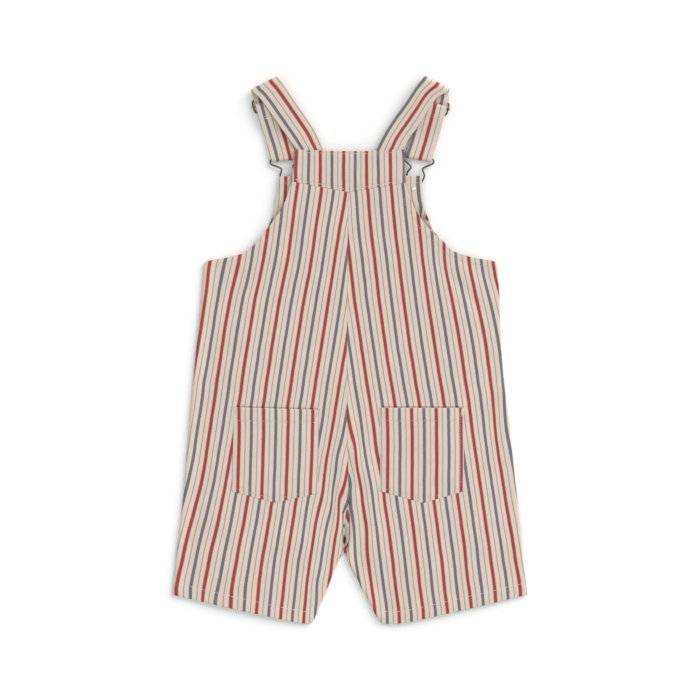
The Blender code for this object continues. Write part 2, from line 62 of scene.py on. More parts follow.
SIDE_COLUMNS = ("y", "left_x", "right_x")
SIDE = [
    (267.0, 203.2, 497.2), (300.0, 200.8, 499.2), (340.0, 196.6, 500.4), (380.0, 192.8, 503.4),
    (420.0, 189.0, 508.7), (460.0, 185.6, 512.7), (500.0, 182.3, 516.9), (540.0, 177.5, 521.3),
    (580.0, 173.4, 525.2), (595.0, 171.7, 526.9),
]
EDGE_COLUMNS = ("left_x", "left_y", "right_x", "right_y")
ARMHOLE = [
    (291.2, 181.8, 404.3, 183.5), (283.2, 205.0, 412.0, 205.0), (270.2, 225.0, 424.8, 225.0),
    (262.6, 234.4, 433.6, 234.0), (255.2, 243.6, 442.1, 241.0), (248.2, 249.8, 447.8, 247.6),
    (241.4, 254.0, 454.8, 252.2), (225.2, 258.1, 467.5, 256.4), (210.5, 260.5, 481.5, 259.3),
    (206.2, 261.6, 491.8, 261.0), (203.8, 263.6, 495.8, 263.0),
]
BIB_SIDE = [
    (279.2, 176.6, 420.8, 176.2), (278.0, 190.0, 421.6, 190.0), (275.4, 202.0, 423.2, 204.0),
    (272.8, 214.0, 426.4, 215.0), (270.2, 221.0, 429.4, 222.0), (264.6, 231.0, 433.4, 231.0),
]
INSEAM = [
    (347.4, 499.0, 348.7, 499.0), (344.0, 506.0, 349.1, 510.0), (341.8, 513.0, 349.2, 524.0),
    (341.5, 530.0, 348.9, 538.0), (341.5, 546.0, 347.0, 549.0), (340.4, 553.5, 345.9, 554.5),
    (338.6, 559.5, 347.2, 561.7), (334.2, 570.0, 352.2, 571.7), (330.4, 580.2, 357.6, 581.0),
    (326.7, 589.3, 360.9, 588.6), (321.2, 602.2, 367.2, 599.6), (317.0, 612.1, 371.8, 609.7),
    (314.2, 619.0, 376.2, 617.4),
]
HEM = [
    (311.4, 623.0, 379.4, 622.4), (305.0, 624.0, 386.0, 624.0), (285.0, 620.6, 402.0, 623.4),
    (256.0, 614.2, 424.0, 619.0), (232.0, 609.0, 448.0, 613.6), (200.0, 601.6, 487.0, 604.6),
]
CENTRE_BACK = [(347.8, 192.8), (347.0, 262.0), (346.3, 340.0), (346.6, 420.0), (347.6, 470.0), (348.1, 499.0)]
CENTRE_FRONT = [(349.6, 176.0), (348.6, 262.0), (347.2, 420.0), (345.4, 500.0), (344.6, 552.5)]
YOKE = {
    "top": [(295.4, 150.0), (322.0, 151.2), (350.0, 151.6), (378.0, 151.2), (403.9, 150.0)],
    "right": (404.2, 183.5),
    "point": (347.8, 192.8),
    "left": (291.4, 181.8),
}
POCKET_CORNERS = ("top_left", "top_right", "low_right", "point", "low_left")
POCKETS = {
    "left": [(233.4, 407.6), (318.8, 410.0), (317.2, 493.6), (274.2, 502.8), (231.2, 491.4)],
    "right": [(379.2, 408.0), (463.4, 408.2), (463.4, 491.4), (422.6, 503.2), (380.0, 491.4)],
}
HOOK_COLUMNS = ("side", "x", "y", "turn_deg", "to_button")
HOOKS = [("left", 284.3, 157.0, 12.4, 33.0), ("right", 418.2, 157.0, -9.4, 33.0)]
HOOK_WIRE_COLUMNS = ("along", "half")
HOOK_SHAPE = [
    (0.0, 13.7), (0.7, 14.9), (2.8, 15.5), (4.9, 14.6), (7.6, 10.4), (9.8, 7.2), (11.6, 5.9), (13.8, 6.7),
    (16.4, 8.3), (19.2, 8.7), (23.5, 7.4), (28.5, 5.2), (33.0, 4.5), (36.6, 3.9), (39.0, 2.3),
]
SLIDERS = [("left", 267.2, 103.4, 15.9), ("right", 433.2, 105.7, -15.0)]
STRAP_COLUMNS = ("place", "left_x", "left_y", "right_x", "right_y", "z")
STRAPS = {
    "left": [
        ("sewn_end", 302.4, 159.0, 328.6, 160.2, 5.9),
        ("yoke_edge", 295.8, 150.0, 323.2, 150.8, 5.8),
        ("back_run", 287.6, 138.6, 315.0, 132.3, 5.9),
        ("back_run", 279.3, 127.0, 304.8, 116.6, 6.4),
        ("back_run", 268.5, 111.4, 292.2, 98.3, 7.6),
        ("back_run", 259.4, 99.2, 283.8, 86.1, 8.8),
        ("shoulder_turn", 253.2, 93.6, 279.0, 80.1, 9.6),
        ("front_run", 251.8, 95.2, 277.8, 82.2, 0.9),
        ("slider_top_bar", 253.5, 101.0, 278.9, 93.8, 2.6),
        ("slider_middle", 255.1, 107.0, 280.5, 99.8, 0.9),
        ("slider_low_bar", 256.8, 113.0, 282.2, 105.8, 2.6),
        ("below_slider", 259.2, 120.4, 284.6, 113.0, 0.9),
        ("front_run", 265.0, 139.5, 290.6, 133.0, 0.9),
        ("hook_turn", 270.8, 159.9, 297.0, 157.2, 0.8),
        ("return_run", 270.8, 159.9, 297.0, 157.2, 4.4),
        ("return_run", 265.0, 139.5, 290.6, 133.0, 2.6),
        ("return_run", 259.6, 123.0, 285.0, 115.6, 4.6),
        ("over_low_bar", 256.8, 113.0, 282.2, 105.8, 5.8),
        ("slider_turn", 255.1, 107.0, 280.5, 99.8, 5.8),
        ("stitched_end", 255.1, 107.0, 280.5, 99.8, 2.3),
        ("stitched_end", 256.8, 113.0, 282.2, 105.8, 4.1),
        ("stitched_end", 259.0, 120.0, 284.4, 112.6, 3.1),
    ],
    "right": [
        ("sewn_end", 370.8, 160.0, 398.0, 158.6, 5.9),
        ("yoke_edge", 375.6, 150.6, 403.0, 149.6, 5.8),
        ("back_run", 383.9, 134.4, 407.6, 140.0, 5.9),
        ("back_run", 393.5, 119.0, 415.1, 130.1, 6.4),
        ("back_run", 404.5, 104.2, 423.9, 116.4, 7.6),
        ("back_run", 413.9, 89.9, 435.2, 99.6, 8.8),
        ("shoulder_turn", 421.4, 80.0, 446.4, 92.8, 9.6),
        ("front_run", 422.4, 81.4, 447.8, 93.4, 0.9),
        ("front_run", 423.4, 89.6, 448.2, 98.0, 1.2),
        ("slider_top_bar", 422.0, 96.2, 447.3, 102.9, 2.6),
        ("slider_middle", 420.3, 102.3, 445.7, 109.1, 0.9),
        ("slider_low_bar", 418.7, 108.3, 444.1, 115.1, 2.6),
        ("below_slider", 416.7, 115.6, 442.2, 122.5, 0.9),
        ("front_run", 411.6, 134.8, 437.2, 141.4, 0.9),
        ("hook_turn", 404.9, 155.5, 431.6, 160.1, 0.8),
        ("return_run", 404.9, 155.5, 431.6, 160.1, 4.4),
        ("return_run", 411.6, 134.8, 437.2, 141.4, 2.6),
        ("return_run", 416.0, 118.4, 441.4, 125.4, 4.6),
        ("over_low_bar", 418.7, 108.3, 444.1, 115.1, 5.8),
        ("slider_turn", 420.3, 102.3, 445.7, 109.1, 5.8),
        ("stitched_end", 420.3, 102.3, 445.7, 109.1, 2.3),
        ("stitched_end", 418.7, 108.3, 444.1, 115.1, 4.1),
        ("stitched_end", 416.8, 115.2, 442.2, 122.0, 3.1),
    ],
}

# ---------------------------------------------------------------- stripes
# One repeat is red, a thin line, blue-grey, a thin line.  A lay row says where a red
# stripe of the piece runs at that height, how far apart the red stripes lie there, and
# how much that distance grows from one to the next.
REPEAT = 24.5
LAY_COLUMNS = ("y", "red_x", "apart", "growth")
LAY = {
    "back_left": (-3, [
        (170.0, 299.0, 24.6, 0.0), (200.0, 295.1, 24.6, 0.0), (230.0, 291.3, 23.8, 0.0), (262.0, 286.8, 24.2, -0.3),
        (300.0, 279.1, 24.6, -0.06), (340.0, 272.6, 24.6, 0.0), (380.0, 266.5, 24.7, -0.11), (400.0, 263.8, 24.6, -0.13),
        (440.0, 257.3, 24.6, -0.15), (480.0, 250.3, 24.85, -0.30), (520.0, 243.7, 25.5, -0.5), (560.0, 236.2, 26.1, -0.56),
        (590.0, 231.2, 26.6, -0.53), (610.0, 230.4, 25.9, -0.5), (630.0, 230.2, 25.6, -0.5)]),
    "back_right": (3, [
        (170.0, 388.8, 23.8, 0.0), (200.0, 391.8, 23.8, 0.0), (230.0, 394.6, 24.3, 0.0), (262.0, 398.5, 24.1, -0.15),
        (300.0, 403.1, 24.4, -0.06), (340.0, 408.5, 24.7, 0.2), (380.0, 414.7, 24.7, 0.13), (400.0, 418.2, 24.7, 0.07),
        (440.0, 424.4, 24.3, 0.0), (480.0, 430.5, 24.2, 0.0), (520.0, 435.8, 24.3, 0.08), (560.0, 441.1, 24.6, 0.0),
        (590.0, 444.2, 24.7, 0.19), (610.0, 446.2, 24.3, 0.1), (630.0, 447.2, 24.3, 0.1)]),
    "front_left": (0, [(170.0, 285.6, 24.5, 0.0), (200.0, 284.6, 24.5, 0.0), (300.0, 275.0, 24.5, 0.0), (440.0, 259.0, 24.5, 0.0),
                       (560.0, 240.0, 25.5, 0.0), (630.0, 232.0, 25.5, 0.0)]),
    "front_right": (0, [(170.0, 402.6, 30.4, 0.0), (185.0, 402.6, 29.8, 0.0), (200.0, 405.0, 27.6, 0.0), (215.0, 408.6, 26.0, 0.0), (300.0, 417.0, 24.5, 0.0), (440.0, 433.0, 24.5, 0.0),
                        (560.0, 451.0, 24.8, 0.0), (630.0, 458.0, 24.8, 0.0)]),
    "yoke": (0, [(140.0, 343.3, 23.1, 0.0), (200.0, 343.0, 23.6, 0.0)]),
    "pocket_left": (0, [(400.0, 263.2, 24.6, 0.0), (425.0, 263.2, 24.5, 0.0), (450.0, 262.8, 24.35, 0.0),
                        (470.0, 262.2, 24.25, 0.0), (490.0, 261.5, 24.15, 0.0), (510.0, 260.9, 24.1, 0.0)]),
    "pocket_right": (0, [(400.0, 410.8, 24.5, 0.0), (425.0, 411.4, 24.5, 0.0), (450.0, 411.8, 24.45, 0.0),
                         (470.0, 411.7, 24.45, 0.0), (490.0, 411.5, 24.5, 0.0), (510.0, 411.4, 24.5, 0.0)]),
}
# Where the cloth is pulled a little to one side: middle of the spot, its half sizes,
# and how far the stripes move to the right there.
PULL_COLUMNS = ("x", "y", "half_x", "half_y", "shift")
PULLS = {
    "back_left": [
        (209.0, 262.0, 10.0, 22.0, -2.0), (243.0, 268.0, 13.0, 22.0, 1.5), (225.0, 332.0, 12.0, 22.0, -0.9),
        (196.0, 480.0, 28.0, 36.0, 2.2), (321.0, 430.0, 8.0, 24.0, 0.9), (321.5, 491.0, 9.0, 22.0, 2.0),
        (337.0, 455.0, 8.0, 14.0, -1.4), (330.0, 508.0, 6.0, 16.0, 1.6), (338.5, 501.0, 4.5, 13.0, -2.9),
        (302.0, 540.0, 8.0, 22.0, 0.8), (205.0, 560.0, 12.0, 34.0, -0.8), (319.0, 585.0, 12.0, 13.0, -2.1),
        (211.0, 603.0, 14.0, 12.0, -2.9), (275.0, 595.0, 34.0, 26.0, 0.7)],
    "back_right": [
        (452.0, 263.0, 18.0, 24.0, -2.3), (492.0, 308.0, 14.0, 22.0, 1.6), (505.0, 415.0, 11.0, 30.0, -2.4),
        (500.0, 455.0, 10.0, 30.0, -1.2), (507.0, 505.0, 10.0, 28.0, -1.3), (354.5, 447.0, 5.5, 18.0, 2.2),
        (364.0, 452.0, 8.0, 24.0, -1.3), (375.0, 455.0, 9.0, 24.0, -1.4), (360.0, 488.0, 6.0, 22.0, 1.3),
        (366.0, 528.0, 6.0, 20.0, 1.6), (350.0, 482.0, 5.0, 14.0, 3.4), (353.0, 532.0, 5.0, 26.0, 1.0),
        (388.0, 508.0, 13.0, 22.0, -1.2), (375.0, 515.0, 5.0, 22.0, -0.7), (472.0, 575.0, 13.0, 20.0, -1.0),
        (440.0, 614.0, 50.0, 14.0, 0.7)],
    "front_right": [(425.8, 218.0, 4.0, 6.0, -9.0)],
    "yoke": [(293.0, 165.0, 7.0, 30.0, -1.4), (372.0, 162.0, 12.0, 26.0, -0.7), (404.5, 165.0, 6.0, 30.0, 2.2)],
}
# Where the middle of the red stripe lies across each strap, in mm from its left edge:
# on the face that is up on the back run and on the run that returns from the hook,
# run by run, and on the other face, which is up on the run between shoulder and slider.
STRAP_RED_COLUMNS = ("back_run", "front_run", "return_run", "stitched_end", "other_face")
STRAP_RED = {"left": (18.4, 18.4, 18.3, 18.3, 18.05), "right": (14.0, 14.0, 14.2, 13.9, 7.3)}
# The rumpled cloth of the front that shows in the gap between the legs: the bits of
# stripe that its folds leave in sight, each from one end to the other, and the half
# width at either end.
MARK_COLUMNS = ("kind", "x1", "y1", "half1", "x2", "y2", "half2")
CROTCH_MARKS = [
    ("thin", 348.9, 486.5, 0.45, 342.8, 500.0, 0.45),
    ("blue", 347.8, 501.4, 1.3, 344.9, 507.0, 1.7), ("blue", 344.9, 507.0, 1.7, 341.7, 512.8, 1.4),
    ("red", 346.6, 510.6, 0.9, 346.9, 517.2, 1.9), ("red", 346.9, 517.2, 1.9, 348.7, 523.4, 0.6),
    ("red", 348.0, 543.6, 0.9, 344.4, 549.4, 1.5), ("red", 344.4, 549.4, 1.5, 345.2, 555.6, 1.1),
]
# Its folds: middle, half sizes along x and y, height.
FOLD_COLUMNS = ("x", "y", "half_x", "half_y", "height")
CROTCH_FOLDS = [
    (345.6, 503.0, 2.6, 5.0, 0.5), (343.4, 518.0, 1.6, 7.0, 0.55), (343.6, 526.5, 0.9, 3.2, -0.9),
    (346.6, 527.0, 1.6, 6.5, 0.6), (344.1, 540.0, 1.3, 5.5, -1.5), (347.2, 537.0, 1.2, 8.0, 0.55),
    (346.4, 549.5, 1.5, 4.0, 0.6), (343.6, 549.5, 0.9, 3.5, -0.5),
]

# ---------------------------------------------------------------- creases
# Soft troughs (height below 0) and ridges of the back, through three places each.
CREASE_COLUMNS = ("place", "x1", "y1", "x2", "y2", "x3", "y3", "height", "half_width")
CREASES = [
    ("crotch_ridge_right", 361.0, 425.0, 369.0, 505.0, 374.0, 590.0, 1.5, 9.5),
    ("left_armhole_long", 247.0, 266.0, 235.0, 293.0, 220.0, 320.0, -0.55, 4.6),
    ("left_armhole_ridge", 237.0, 268.0, 226.0, 290.0, 212.0, 312.0, 0.45, 5.0),
    ("left_armhole_short", 224.0, 268.0, 215.0, 283.0, 208.5, 300.0, -0.45, 3.8),
    ("left_side_ridge", 252.0, 290.0, 240.0, 315.0, 222.0, 345.0, 0.30, 8.0),
    ("yoke_corner_left", 302.0, 184.0, 295.5, 220.0, 287.0, 270.0, -0.55, 5.2),
    ("yoke_corner_left_ridge", 311.0, 192.0, 305.0, 226.0, 297.0, 268.0, 0.30, 6.5),
    ("right_armhole_long", 440.0, 264.0, 463.0, 290.0, 490.0, 322.0, -0.80, 5.0),
    ("right_armhole_ridge", 455.0, 262.0, 474.0, 282.0, 495.0, 312.0, 0.45, 5.5),
    ("right_armhole_short", 479.0, 266.0, 490.0, 284.0, 497.0, 304.0, -0.45, 4.0),
    ("yoke_corner_right", 397.0, 186.0, 404.0, 220.0, 414.0, 252.0, -0.35, 6.0),
    ("right_side_low", 497.0, 366.0, 492.0, 378.0, 494.0, 392.0, -0.40, 5.5),
    ("crotch_right_upper", 352.0, 384.0, 359.0, 440.0, 367.0, 476.0, -0.60, 4.4),
    ("crotch_right_roll", 352.0, 430.0, 355.0, 470.0, 357.0, 540.0, 0.85, 4.6),
    ("crotch_left_upper", 329.0, 386.0, 325.0, 404.0, 321.0, 422.0, -0.35, 4.0),
    ("crotch_left_lower", 335.0, 432.0, 331.0, 455.0, 326.0, 478.0, -0.50, 4.8),
    ("crotch_left_roll", 340.0, 440.0, 339.0, 480.0, 334.0, 535.0, 0.85, 4.8),
    ("centre_dip", 348.0, 300.0, 350.0, 340.0, 351.0, 368.0, -0.25, 5.0),
    ("left_leg_long", 214.0, 345.0, 207.0, 400.0, 199.0, 460.0, -0.30, 4.6),
    ("left_leg_low", 197.0, 480.0, 192.0, 520.0, 187.0, 565.0, -0.35, 4.6),
    ("left_leg_belly", 243.0, 520.0, 237.0, 560.0, 232.0, 600.0, 0.45, 10.0),
    ("left_hem_wave", 262.0, 570.0, 257.0, 592.0, 254.0, 612.0, -0.40, 7.0),
    ("left_hem_wave_inner", 300.0, 560.0, 297.0, 590.0, 296.0, 618.0, -0.35, 8.0),
    ("right_hem_wave_inner", 384.0, 585.0, 382.0, 604.0, 380.0, 620.0, -0.45, 7.0),
    ("right_leg_belly", 425.0, 530.0, 431.0, 560.0, 436.0, 590.0, 0.45, 11.0),
    ("right_hem_wave", 447.0, 545.0, 451.0, 570.0, 454.0, 604.0, -0.30, 6.0),
    ("right_leg_side", 500.0, 470.0, 505.0, 510.0, 507.0, 545.0, -0.30, 5.0),
    ("seat_left", 262.0, 330.0, 257.0, 350.0, 255.0, 372.0, -0.18, 7.0),
    ("seat_right", 430.0, 350.0, 436.0, 362.0, 444.0, 372.0, -0.20, 7.0),
    ("chest_right", 392.0, 272.0, 398.0, 284.0, 402.0, 296.0, -0.15, 7.0),
]


# ---------------------------------------------------------------- plan geometry
def spline(rows, step):
    """A smooth curve through the rows, as points about step apart; ends included."""
    rows = [np.array(r, float) for r in rows]
    ends = [2 * rows[0] - rows[1]] + rows + [2 * rows[-1] - rows[-2]]
    out = []
    for i in range(1, len(ends) - 2):
        a, b, c, d = ends[i - 1], ends[i], ends[i + 1], ends[i + 2]
        count = max(1, round(float(np.linalg.norm((c - b)[:2])) / step))
        for k in range(count):
            t = k / count
            out.append(0.5 * (2 * b + (c - a) * t + (2 * a - 5 * b + 4 * c - d) * t * t
                              + (3 * b - a - 3 * c + d) * t ** 3))
    out.append(rows[-1])
    return np.array(out)


def pick(table, side):
    first = 0 if side == "left" else 2
    return [(row[first], row[first + 1]) for row in table]


def side_seam(side):
    column = 1 if side == "left" else 2
    return [(row[column], row[0]) for row in SIDE]


def shifted(points, dx, dy=0.0):
    return [(p[0] + dx, p[1] + dy) for p in points]


def back_chains(side, step):
    """The edges of one back panel, in order round it."""
    sign = -1 if side == "left" else 1
    corner, point = pick(ARMHOLE, side)[0], YOKE["point"]
    yoke_seam = [(corner[0], corner[1] + SEAM_GAP), (point[0] + sign * SEAM_GAP / 2, point[1] + SEAM_GAP)]
    centre = shifted(CENTRE_BACK, sign * SEAM_GAP / 2)
    centre[0] = yoke_seam[1]
    armhole = list(reversed(pick(ARMHOLE, side)))
    armhole[-1] = (armhole[-1][0], armhole[-1][1] + SEAM_GAP)
    return [
        ("yoke_seam", spline(yoke_seam, step)),
        ("centre", spline(centre, step)),
        ("inseam", spline(pick(INSEAM, side), step * 0.8)),
        ("hem", spline(pick(HEM, side) + [side_seam(side)[-1]], step)),
        ("side", spline(list(reversed(side_seam(side))), step)),
        ("armhole", spline(armhole, step * 0.8)),
    ]


def front_chains(side, step):
    sign = -1 if side == "left" else 1
    centre = shifted(CENTRE_FRONT, sign * SEAM_GAP / 2)
    bib = pick(BIB_SIDE, side)
    leg = [p for p in pick(INSEAM, side) if p[1] > 556.0]
    hidden = [(p[0], p[1] + 0.8) for p in reversed(pick(ARMHOLE, side)[4:])]
    return [
        ("bib_top", spline([bib[0], centre[0]], step)),
        ("centre", spline(centre, step)),
        ("inseam", spline(leg, step * 0.8)),
        ("hem", spline(pick(HEM, side) + [side_seam(side)[-1]], step)),
        ("side", spline(list(reversed(side_seam(side))), step)),
        ("armhole", spline(hidden + list(reversed(bib)), step * 0.8)),
    ]


def yoke_chains(step):
    return [
        ("top", spline(YOKE["top"], step)),
        ("right_edge", spline([YOKE["top"][-1], YOKE["right"]], step)),
        ("seam_right", spline([YOKE["right"], YOKE["point"]], step)),
        ("seam_left", spline([YOKE["point"], YOKE["left"]], step)),
        ("left_edge", spline([YOKE["left"], YOKE["top"][0]], step)),
    ]


def pocket_chains(side, step):
    corners = POCKETS[side]
    names = ("mouth", "edge", "edge", "edge", "edge")
    return [(n, spline([a, b], step)) for n, a, b in zip(names, corners, corners[1:] + corners[:1])]


def nearest(P, line):
    """Distance from each point of P to a chain, and how far along the chain (0 to 1)."""
    line = np.asarray(line, float)
    lengths = np.concatenate([[0.0], np.cumsum(np.linalg.norm(np.diff(line, axis=0), axis=1))])
    best = np.full(len(P), 1e9)
    along = np.zeros(len(P))
    for i in range(len(line) - 1):
        a, b = line[i], line[i + 1]
        d = b - a
        size = max(float(d @ d), 1e-12)
        t = np.clip(((P - a) @ d) / size, 0.0, 1.0)
        gap = np.hypot(P[:, 0] - a[0] - t * d[0], P[:, 1] - a[1] - t * d[1])
        better = gap < best
        best = np.where(better, gap, best)
        along = np.where(better, lengths[i] + t * math.sqrt(size), along)
    return best, along / max(lengths[-1], 1e-9)


def distance(P, line):
    return nearest(P, line)[0]


def inside(P, ring):
    hit = np.zeros(len(P), bool)
    for (ax, ay), (bx, by) in zip(ring, np.roll(ring, -1, axis=0)):
        if ay == by:
            continue
        crosses = (ay > P[:, 1]) != (by > P[:, 1])
        hit ^= crosses & (P[:, 0] < (bx - ax) * (P[:, 1] - ay) / (by - ay) + ax)
    return hit


def ease(t):
    t = np.clip(t, 0.0, 1.0)
    return t * t * (3 - 2 * t)


def band(d, middle, half):
    """1 at d = middle, 0 from half away."""
    return ease(1 - np.abs(d - middle) / half)


def soft_noise(P, size, seed):
    lattice = np.random.RandomState(seed).uniform(-1, 1, (97, 97))
    q = np.asarray(P, float) / size + 1000.0
    cell = np.floor(q).astype(int)
    f = q - cell
    f = f * f * (3 - 2 * f)
    i, j = cell[:, 0] % 97, cell[:, 1] % 97
    i1, j1 = (i + 1) % 97, (j + 1) % 97
    low = lattice[i, j] * (1 - f[:, 0]) + lattice[i1, j] * f[:, 0]
    high = lattice[i, j1] * (1 - f[:, 0]) + lattice[i1, j1] * f[:, 0]
    return low * (1 - f[:, 1]) + high * f[:, 1]


# ---------------------------------------------------------------- heights
def hook_axis(hook):
    _, x, y, turn, _ = hook
    a = math.radians(turn)
    return np.array([x, y]), np.array([math.cos(a), -math.sin(a)]), np.array([math.sin(a), math.cos(a)])


def button_place(hook):
    centre, _, along = hook_axis(hook)
    return centre + along * hook[4]


BUTTONS = {hook[0]: button_place(hook) for hook in HOOKS}
CLOSED_EDGES = [side_seam("left"), side_seam("right"), pick(INSEAM, "left")[1:], pick(INSEAM, "right")[1:]]


def bib_lift(P):
    total = np.zeros(len(P))
    for hook in HOOKS:
        centre, _, along = hook_axis(hook)
        button = BUTTONS[hook[0]]
        spine = [button + (0, 2.0), centre + along * 14.0]
        d = distance(P, spine)
        total = np.maximum(total, BIB_LIFT * ease((LIFT_REACH - d) / (LIFT_REACH - LIFT_FLAT)))
    return total


def back_under(P):
    edge = np.min([distance(P, line) for line in CLOSED_EDGES], axis=0)
    loft = LOFT * (1 - np.exp(-((edge / LOFT_REACH) ** 2)))
    loft = np.where(P[:, 1] < 300.0, loft * (1 - 0.55 * ease((300.0 - P[:, 1]) / 90.0)), loft)
    # it stands on the two bib buttons and the strap ends, and bridges between them
    feet = {"left": (308.0, 152.0), "right": (392.0, 152.0)}
    spans = [distance(P, [BUTTONS["left"], feet["left"]]), distance(P, [feet["left"], feet["right"]]),
             distance(P, [feet["right"], BUTTONS["right"]])]
    d = sum((span + 0.5) ** -4.0 for span in spans) ** -0.25
    high = BACK_LIFT * ease((BRIDGE_REACH - d) / (BRIDGE_REACH - 8.0))
    return CLOTH + LAYER_GAP + loft + high


def creases(P):
    """The listed folds of the back, faded out towards the sewn edges."""
    total = np.zeros(len(P))
    for row in CREASES:
        line = spline([row[1:3], row[3:5], row[5:7]], 5.0)
        near = (np.abs(P[:, 0] - row[3]) < 90) & (np.abs(P[:, 1] - row[4]) < 110)
        if not near.any():
            continue
        d, along = nearest(P[near], line)
        fade = ease(np.minimum(along, 1 - along) / 0.32 + 0.06)
        total[near] += row[7] * np.exp(-((d / row[8]) ** 2)) * fade
    return total


def round_over(d, radius):
    """0 on the edge, 1 from radius inside it, along a quarter circle."""
    t = np.clip(d / radius, 0.0, 1.0)
    return np.sqrt(np.maximum(1 - (1 - t) ** 2, 0.0))


HEM_DEPTH = 12.0
ARMHOLE_DEPTH = 6.5


def turned_hem(d, depth, extra):
    """Extra thickness of a turned edge, with the groove that its stitches pull in."""
    return extra * ease((depth + 1.0 - d) / 1.3) - 0.15 * band(d, depth, 0.9)


def lines_of(kind_chains, *kinds):
    found = [c for n, c in kind_chains if n in kinds]
    return found


def edge_distance(P, chains, *kinds):
    found = lines_of(chains, *kinds)
    return np.min([distance(P, c) for c in found], axis=0) if found else np.full(len(P), 1e9)


def back_surface(P, side):
    """Upper and lower side of a back panel at the points P."""
    chains = COARSE["back_" + side]
    under = back_under(P)
    closed = np.minimum(edge_distance(P, chains, "side"), edge_distance(P, chains, "inseam"))
    centre = edge_distance(P, chains, "centre")
    hem = edge_distance(P, chains, "hem")
    armhole = edge_distance(P, chains, "armhole")
    yoke = edge_distance(P, chains, "yoke_seam")
    folds = creases(P) * ease((closed + 1.0) / 7.0) + 0.10 * soft_noise(P, 17.0, 3) + 0.14 * soft_noise(P, 41.0, 5)
    folds *= ease(closed / 4.0)
    # the seam allowance inside shows as a low flat welt beside each seam
    folds += 0.26 * ease((11.5 - closed) / 2.6) * ease(closed / 2.0)
    folds += 0.16 * ease((8.5 - centre) / 2.0)
    # the side and the inner leg that face away from the light stand a little fuller
    rolls = {"left": ("side", "inseam"), "right": ("inseam", "side")}[side]
    fuller = edge_distance(P, chains, rolls[0])
    under = under + SIDE_FULLNESS * np.exp(-((fuller / 9.0) ** 2)) * ease(hem / 12.0 + 0.25)
    top = under + CLOTH + folds
    top += turned_hem(hem, HEM_DEPTH, 0.24) + turned_hem(armhole, ARMHOLE_DEPTH, 0.10)
    top -= mouth_gap(P, side)
    top += 0.10 * np.sin((P[:, 0] + 0.45 * hem) * 2 * math.pi / 7.3 + 2.2 * soft_noise(P, 23.0, 8)) * ease(hem / 2.0) * ease((HEM_DEPTH - hem) / 3.0)
    top += 0.07 * np.sin((P[:, 0] + P[:, 1]) * 2 * math.pi / 6.1) * ease(armhole / 1.5) * ease((ARMHOLE_DEPTH - armhole) / 2.5)
    low = under + folds * 0.9
    low = np.maximum(low, bib_lift(P) + CLOTH + 0.08)
    floor = np.minimum(low, CLOTH + LAYER_GAP)
    body = top
    body = body - 0.22 * (1 - round_over(np.minimum(hem, armhole), 0.6))
    body -= 0.28 * (1 - round_over(np.minimum(centre, yoke), 0.8))
    roll = np.minimum(round_over(fuller, 2.0), round_over(edge_distance(P, chains, rolls[1]), 1.0))
    body = floor + (body - floor) * roll
    return body, np.where(closed < 1.5, floor + (low - floor) * ease(closed / 1.5), low)


def mouth_gap(P, side):
    """The narrow shaded gap behind the pocket's mouth."""
    (x1, y1), (x2, y2) = POCKETS[side][0], POCKETS[side][1]
    line_y = y1 + (y2 - y1) * (P[:, 0] - x1) / (x2 - x1)
    above = line_y - P[:, 1]
    ends = ease((P[:, 0] - x1 - 0.5) / 3.0) * ease((x2 - 0.5 - P[:, 0]) / 3.0)
    return 0.95 * ends * ease((above + 0.1) / 0.25) * ease((1.35 - above) / 0.5)


def crotch_window(P):
    """1 in the gap between the legs of the back, where the front's cloth shows."""
    left = np.interp(P[:, 1], [p[1] for p in pick(INSEAM, "left")], [p[0] for p in pick(INSEAM, "left")])
    right = np.interp(P[:, 1], [p[1] for p in pick(INSEAM, "right")], [p[0] for p in pick(INSEAM, "right")])
    across = ease((P[:, 0] - left + 0.3) / 1.3) * ease((right + 0.3 - P[:, 0]) / 1.3)
    return across * ease((P[:, 1] - 498.0) / 5.0) * ease((557.5 - P[:, 1]) / 3.5)


def front_surface(P, side):
    chains = COARSE["front_" + side]
    lift = bib_lift(P)
    closed = np.minimum(edge_distance(P, chains, "side"), edge_distance(P, chains, "inseam"))
    centre = edge_distance(P, chains, "centre")
    hem = edge_distance(P, chains, "hem")
    armhole = edge_distance(P, chains, "armhole")
    bib_top = edge_distance(P, chains, "bib_top")
    window = crotch_window(P)
    top = lift + CLOTH + 0.0 * closed
    bib = ease((240.0 - P[:, 1]) / 6.0)
    top += (turned_hem(bib_top, 7.0, 0.2) + turned_hem(armhole, ARMHOLE_DEPTH, 0.15)) * bib
    top += window * (0.9 + crotch_folds(P))
    low = lift + 0.02 + 0.22 * band(hem, HEM_DEPTH, 1.2) + 0.12 * ease(hem / 3.0) * ease((hem - HEM_DEPTH - 1.0) / 8.0) * (1 + soft_noise(P, 33.0, 12)) * (1 - bib)
    low += (0.16 * band(armhole, ARMHOLE_DEPTH, 1.0) + 0.16 * band(bib_top, 7.0, 1.0)) * bib
    low += 0.3 * (1 - round_over(centre, 0.9)) * (1 - bib * 0.3)
    outer = np.minimum(np.minimum(hem, armhole), bib_top)
    middle = (top + low) / 2
    top = middle + (top - middle) * (0.35 + 0.65 * round_over(outer, 0.9))
    low = middle + (low - middle) * (0.35 + 0.65 * round_over(outer, 0.9))
    seam_z = CLOTH - 0.1 + lift
    low = seam_z + (low - seam_z) * round_over(closed, 1.5)
    top = np.maximum(top, low + 0.05)
    return top, low


